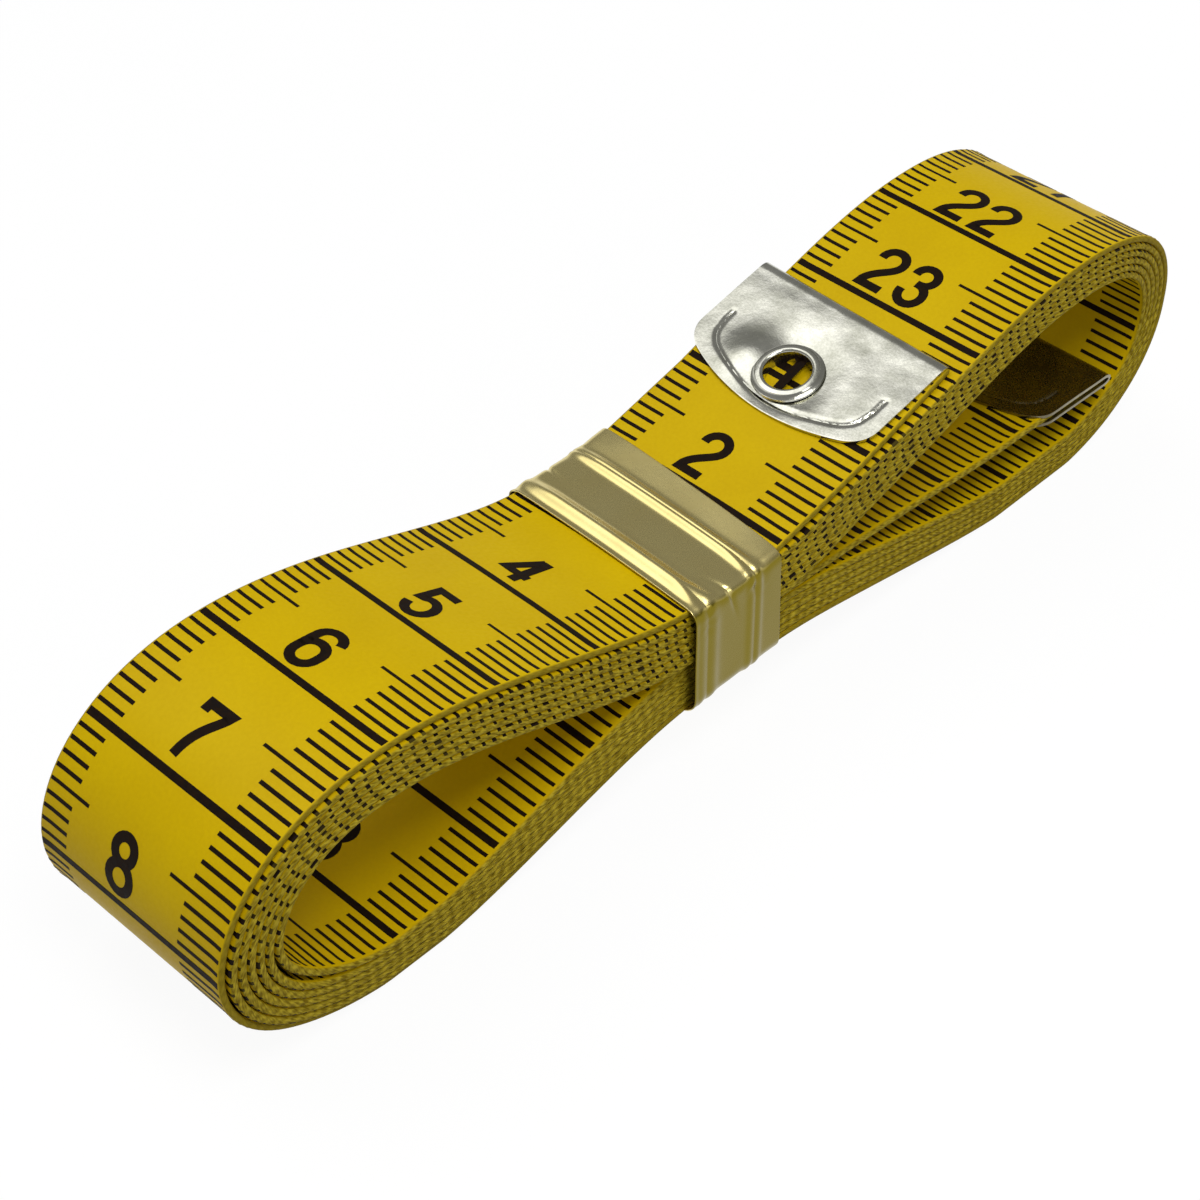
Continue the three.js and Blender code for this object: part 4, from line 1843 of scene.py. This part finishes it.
    def build(self, material: bpy.types.Material) -> bpy.types.Object:
        """Draw a circle out along X, then press it to the loop's shape.

        Args:
            material: The foil.

        Returns:
            The band.
        """
        outline, normals = self.section()
        count = len(outline)
        bpy.ops.object.select_all(action="DESELECT")
        bpy.ops.mesh.primitive_circle_add(vertices=count, radius=self.half_width * MM,
                                          rotation=(0, math.pi / 2, 0))
        made = adopt("foil_band")
        bpy.ops.object.transform_apply(location=False, rotation=True, scale=False)
        bpy.ops.object.mode_set(mode="EDIT")
        bpy.ops.mesh.select_all(action="SELECT")
        for _ in range(self.rings):
            bpy.ops.mesh.extrude_region_move(
                TRANSFORM_OT_translate={"value": (self.length / self.rings * MM, 0, 0)})
        bpy.ops.object.mode_set(mode="OBJECT")
        drawn = read_places(made)
        along = drawn[:, 0] - drawn[:, 0].min()
        angle = np.arctan2(drawn[:, 2], drawn[:, 1])
        order = np.round((angle - angle[0]) / (2 * math.pi) * count).astype(int)
        index = (order + self.start_index(outline)) % count
        write_places(made, self.pressed(along, outline[index], normals[index],
                                        self.reach_round(outline)[index]))
        face_outwards(made)
        finish_edges(made, self.sheet, self.sheet * self.rim_share, self.smooth_angle)
        made.data.materials.clear()
        made.data.materials.append(material)
        return made

    @property
    def length(self) -> float:
        """Length of the band along X."""
        return self.right - self.left

    def pressed(self, along: np.ndarray, base: np.ndarray, normal: np.ndarray,
                away: np.ndarray) -> np.ndarray:
        """Places of the foil, pulled and pressed as it lies round the tape.

        Args:
            along: Distances from the band's left edge.
            base: Places on the plain loop's outline.
            normal: Outward normals there.
            away: Distances round the loop from the middle of its top.

        Returns:
            Places in millimetres, one a row.
        """
        height = self.height(along, away, base[:, 0] < 0)
        near_from, near_reach = self.near_fade
        near = smooth((near_from - base[:, 0]) / near_reach)
        edge = (along / self.length) ** self.edge_power
        down = np.clip((self.top - base[:, 1]) / (self.top - self.bottom), 0.0, 1.0)
        lean = self.lean[0] + (self.lean[1] - self.lean[0]) * along / self.length
        across = (1.0 - base[:, 0] / self.half_width) / 2
        x = self.left + along - self.pull * edge * across * (1.0 - down) + lean * down * near
        x += self.skew * base[:, 0]
        y = base[:, 0] + normal[:, 0] * height + self.shift

        low = smooth((self.bottom + self.low_reach - base[:, 1]) / self.low_reach)
        by_along, at, level = self.wave_grain
        wave = noise_at(along * by_along, at, level)
        out = np.abs(base[:, 0]) / self.half_width
        crown = self.crown * np.maximum(1 - out ** self.crown_power, 0.0)
        z = base[:, 1] + normal[:, 1] * height + crown + self.bottom_wave * low * wave
        fade_from, fade_reach = self.strip_fade
        rise = self.strip_slope() * np.maximum(x - self.strip_from, 0.0)
        z += rise * smooth((base[:, 1] - self.top + fade_from) / fade_reach)
        z -= self.lip * edge * np.exp(-((away - self.half_width) / self.lip_reach) ** 2)
        return np.column_stack([x, y, z])

    def strip_slope(self) -> float:
        """Slope of the top past the second ridge, which just clears the tape's loose end.

        Returns:
            The slope, as rise over run.
        """
        reach = self.right + self.skew * self.half_width
        plain = self.winding.waist_top - self.winding.stock.thickness / 2
        risen = self.winding.loose_line(np.array([reach]))[0][0, 1] - plain
        return (risen - self.strip_slack) / (reach - self.strip_from)

    def start_index(self, outline: np.ndarray) -> int:
        """Number of the outline's point that the circle's first vertex goes to."""
        middle = (self.top + self.bottom) / 2
        return int(np.argmin(np.abs(outline[:, 1] - middle) - outline[:, 0]))


# The studio


@dataclass(frozen=True)
class Viewpoint:
    """The photograph's camera, in the object's frame."""

    place: Triple = (-110.357, -94.148, 138.025)
    right: Triple = (0.688683, -0.724804, 0.019354)
    down: Triple = (-0.480769, -0.476465, -0.736099)
    forward: Triple = (0.542749, 0.497634, -0.676597)
    lens: float = 77.159
    sensor: float = 36.0

    def build(self) -> None:
        """Make the camera and let the scene use it."""
        data = bpy.data.cameras.new("camera")
        data.lens = self.lens
        data.sensor_width = self.sensor
        data.clip_start = MM
        made = link("camera", data)
        up, back = [-v for v in self.down], [-v for v in self.forward]
        axes = Matrix((self.right, up, back)).transposed()
        made.matrix_world = Matrix.Translation(Vector(self.place) * MM) @ axes.to_4x4()
        bpy.context.scene.camera = made


@dataclass(frozen=True)
class Lamp:
    """A square soft box that looks at the object."""

    name: str
    place: Triple
    size: float
    power: float
    aim: Triple = (0.0, 0.0, 10.0)

    def build(self) -> None:
        """Make the lamp, turned to its aim."""
        data = bpy.data.lights.new(self.name, "AREA")
        data.shape = "SQUARE"
        data.size = self.size * MM
        data.energy = self.power
        made = link(self.name, data)
        made.location = Vector(self.place) * MM
        look = Vector(self.aim) - Vector(self.place)
        made.rotation_euler = look.to_track_quat("-Z", "Y").to_euler()


WHITE = (1.0, 1.0, 1.0, 1.0)


@dataclass(frozen=True)
class Studio:
    """A white floor, a pale surround with a broad soft light overhead, and two soft lamps."""

    floor_size: float = 4000.0
    floor_tone: float = 0.5
    white_share: float = 0.85
    white: float = 1.1
    overhead: Triple = (-0.1, 0.46, 0.882)
    overhead_edge: Pair = (0.895, 0.958)
    surround: float = 0.27
    overhead_light: float = 1.95
    backdrop_top: Pair = (0.3, 0.1)
    lamps: tuple[Lamp, ...] = (
        Lamp("key", (-60.0, -200.0, 580.0), size=260.0, power=1.65),
        Lamp("fill", (-20.0, -480.0, 260.0), size=220.0, power=0.4),
    )

    def seen_directly(self, sheet: NodeSheet) -> bpy.types.NodeSocket:
        """Tell the rays that see a surface from those that only light another.

        Args:
            sheet: The sheet that the nodes go on.

        Returns:
            1 for rays of the camera, of a reflection and through a surface, and 0 for others.
        """
        path = sheet.add("ShaderNodeLightPath").outputs
        seen = sheet.math("MAXIMUM", path["Is Camera Ray"], path["Is Glossy Ray"])
        return sheet.math("MAXIMUM", seen, path["Is Transmission Ray"])

    def floor(self) -> None:
        """Make the floor, white where it is seen and lit, with the object's shadow on it."""
        bpy.ops.object.select_all(action="DESELECT")
        bpy.ops.mesh.primitive_plane_add(size=self.floor_size * MM)
        made = adopt("floor")
        material = bpy.data.materials.new("white_floor")
        sheet = NodeSheet.emptied(material)
        tone = (self.floor_tone, self.floor_tone, self.floor_tone, 1.0)
        lit = sheet.add("ShaderNodeBsdfDiffuse", {"Color": tone})
        white = sheet.add("ShaderNodeEmission", {"Color": WHITE, "Strength": self.white})
        share = sheet.math("MULTIPLY", self.seen_directly(sheet), self.white_share)
        mix = sheet.add("ShaderNodeMixShader", {0: share, 1: lit.outputs[0], 2: white.outputs[0]})
        sheet.add("ShaderNodeOutputMaterial", {"Surface": mix.outputs[0]})
        made.data.materials.append(material)

    def sky(self) -> None:
        """Make the surround: a white backdrop where it is seen, and a soft light overhead."""
        world = bpy.data.worlds.new("surround")
        sheet = NodeSheet.emptied(world)
        way = sheet.add("ShaderNodeTexCoord").outputs["Generated"]
        above = sheet.add("ShaderNodeVectorMath", {0: way, 1: self.overhead},
                          operation="DOT_PRODUCT").outputs["Value"]
        light = sheet.ramp(above, *self.overhead_edge, self.surround, self.overhead_light)
        height = sheet.add("ShaderNodeSeparateXYZ", {0: way}).outputs["Z"]
        backdrop = sheet.math("MULTIPLY", self.seen_directly(sheet),
                              sheet.ramp(height, *self.backdrop_top))
        grey = sheet.add("ShaderNodeCombineXYZ", {0: light, 1: light, 2: light})
        lit = sheet.add("ShaderNodeBackground", {
            "Color": sheet.blend(backdrop, grey.outputs[0], WHITE), "Strength": 1.0})
        sheet.add("ShaderNodeOutputWorld", {"Surface": lit.outputs[0]})
        bpy.context.scene.world = world

    def build(self) -> None:
        """Make the floor, the surround and the lamps."""
        self.floor()
        self.sky()
        for lamp in self.lamps:
            lamp.build()
        bpy.context.scene.view_settings.view_transform = "Standard"


# The whole measure


@dataclass
class TapeMeasure:
    """The whole measure, built round its frame."""

    winding: Winding = field(default_factory=Winding)
    scale: Scale = field(default_factory=Scale)
    bend_start: Triple = (2.15, 0.0, 15.4)
    bend_end: Triple = (6.4, 0.0, 16.4)
    tip_shift: float = 0.36
    tip_yaw: float = -0.035
    tip_past: float = 0.1

    def dress(self, made: bpy.types.Object, body: str | None,
              node: str | None = None) -> None:
        """Tie a piece to its body, hide the solid that it stands for, and log it.

        Args:
            made: The piece.
            body: The body it rides on, or None where its place is baked into its mesh and it is
                tied to no body.
            node: The solid that it stands for, if any.
        """
        if body is None:
            tuple(v * MM for v in self.bend_start)
            tuple(v * MM for v in self.bend_end)
            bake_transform(made)
        else:
            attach(made, body)
        if node is not None:
            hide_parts(node)
        log.info("%s: %d vertices, %d faces", made.name, len(made.data.vertices),
                 len(made.data.polygons))

    def tape(self) -> None:
        """Build the tape's two pieces with all that is printed on them."""
        yellow, ink = TapeFinish().material(), InkFinish().material()
        free = self.winding.loose_end()
        wound = self.winding.wound(float(free.lengths[-1]))
        log.info("tape: %.1f mm free, %.1f mm in all", free.lengths[-1], wound.lengths[-1])
        self.loose_piece(free, yellow, ink)
        self.wound_piece(wound, yellow, ink)

    def loose_piece(self, run: TapeRun, yellow: bpy.types.Material,
                    ink: bpy.types.Material) -> None:
        """Build the loose outer end, bored for its eyelet, and its print.

        Args:
            run: Where it lies.
            yellow: The tape's material.
            ink: The print's material.
        """
        loose = run.mesh("loose_end")
        loose.data.materials.append(yellow)
        tip = self.outer_tip()
        cutter = tip.cutter()
        tip.put(cutter)
        cut_through(loose, cutter)
        layer = Ink(run, self.scale)
        for face in Face:
            layer.ticks(face)
            layer.numbers(face)
        loose_print = layer.mesh("loose_end_print", ink)
        self.dress(loose, None, "tape_free_end")
        self.dress(loose_print, None)

    def wound_piece(self, run: TapeRun, yellow: bpy.types.Material,
                    ink: bpy.types.Material) -> None:
        """Build the wound tape and its print, one layer for each kind.

        Args:
            run: Where it lies.
            yellow: The tape's material.
            ink: The print's material.
        """
        coil = run.mesh("wound_tape")
        coil.data.materials.append(yellow)
        prints = []
        for face in Face:
            layer = Ink(run, self.scale)
            layer.ticks(face)
            prints.append(layer.mesh(f"{face.name.lower()}_ticks", ink))
        layer = Ink(run, self.scale)
        for face in Face:
            layer.numbers(face)
        prints.append(layer.mesh("wound_numbers", ink))
        layer = Ink(run, self.scale)
        layer.marks()
        prints.append(layer.mesh("selvage_marks", ink))
        self.dress(coil, "winding", "tape_winding")
        for made in prints:
            self.dress(made, "winding")

    def outer_tip(self) -> FoldedTip:
        """The tip at the tape's outer end, seated on the loose end's line.

        Returns:
            The tip.
        """
        x, z = self.winding.loose_line(np.array([self.winding.tape_end_x]))[0][0]
        return FoldedTip("outer_folded_tip", (x + self.tip_past, self.tip_shift, z),
                         slope=self.winding.loose_slope, yaw=self.tip_yaw, bored=True)

    def build(self) -> None:
        """Build every piece in order."""
        self.tape()
        steel = PLATED_STEEL.material()
        tip = self.outer_tip()
        self.dress(tip.build(steel), "free_end", "outer_tip")
        self.dress(Eyelet(tip).build(steel), "free_end", "outer_eyelet")
        x, z = self.winding.stray_end
        inner = FoldedTip("inner_folded_tip", (x, 0.0, z), slope=self.winding.stray_slope,
                          yaw=0.0, bored=False)
        self.dress(inner.build(DULL_STEEL.material()), "winding", "inner_tip")
        self.dress(FoilBand(self.winding).build(GOLD_FOIL.material()), "band", "band")


def main() -> None:
    """Set the camera, build the measure and light it."""
    logging.basicConfig(level=logging.INFO, format="%(name)s %(message)s")
    Viewpoint().build()
    TapeMeasure().build()
    Studio().build()


if __name__ == "__main__":
    main()
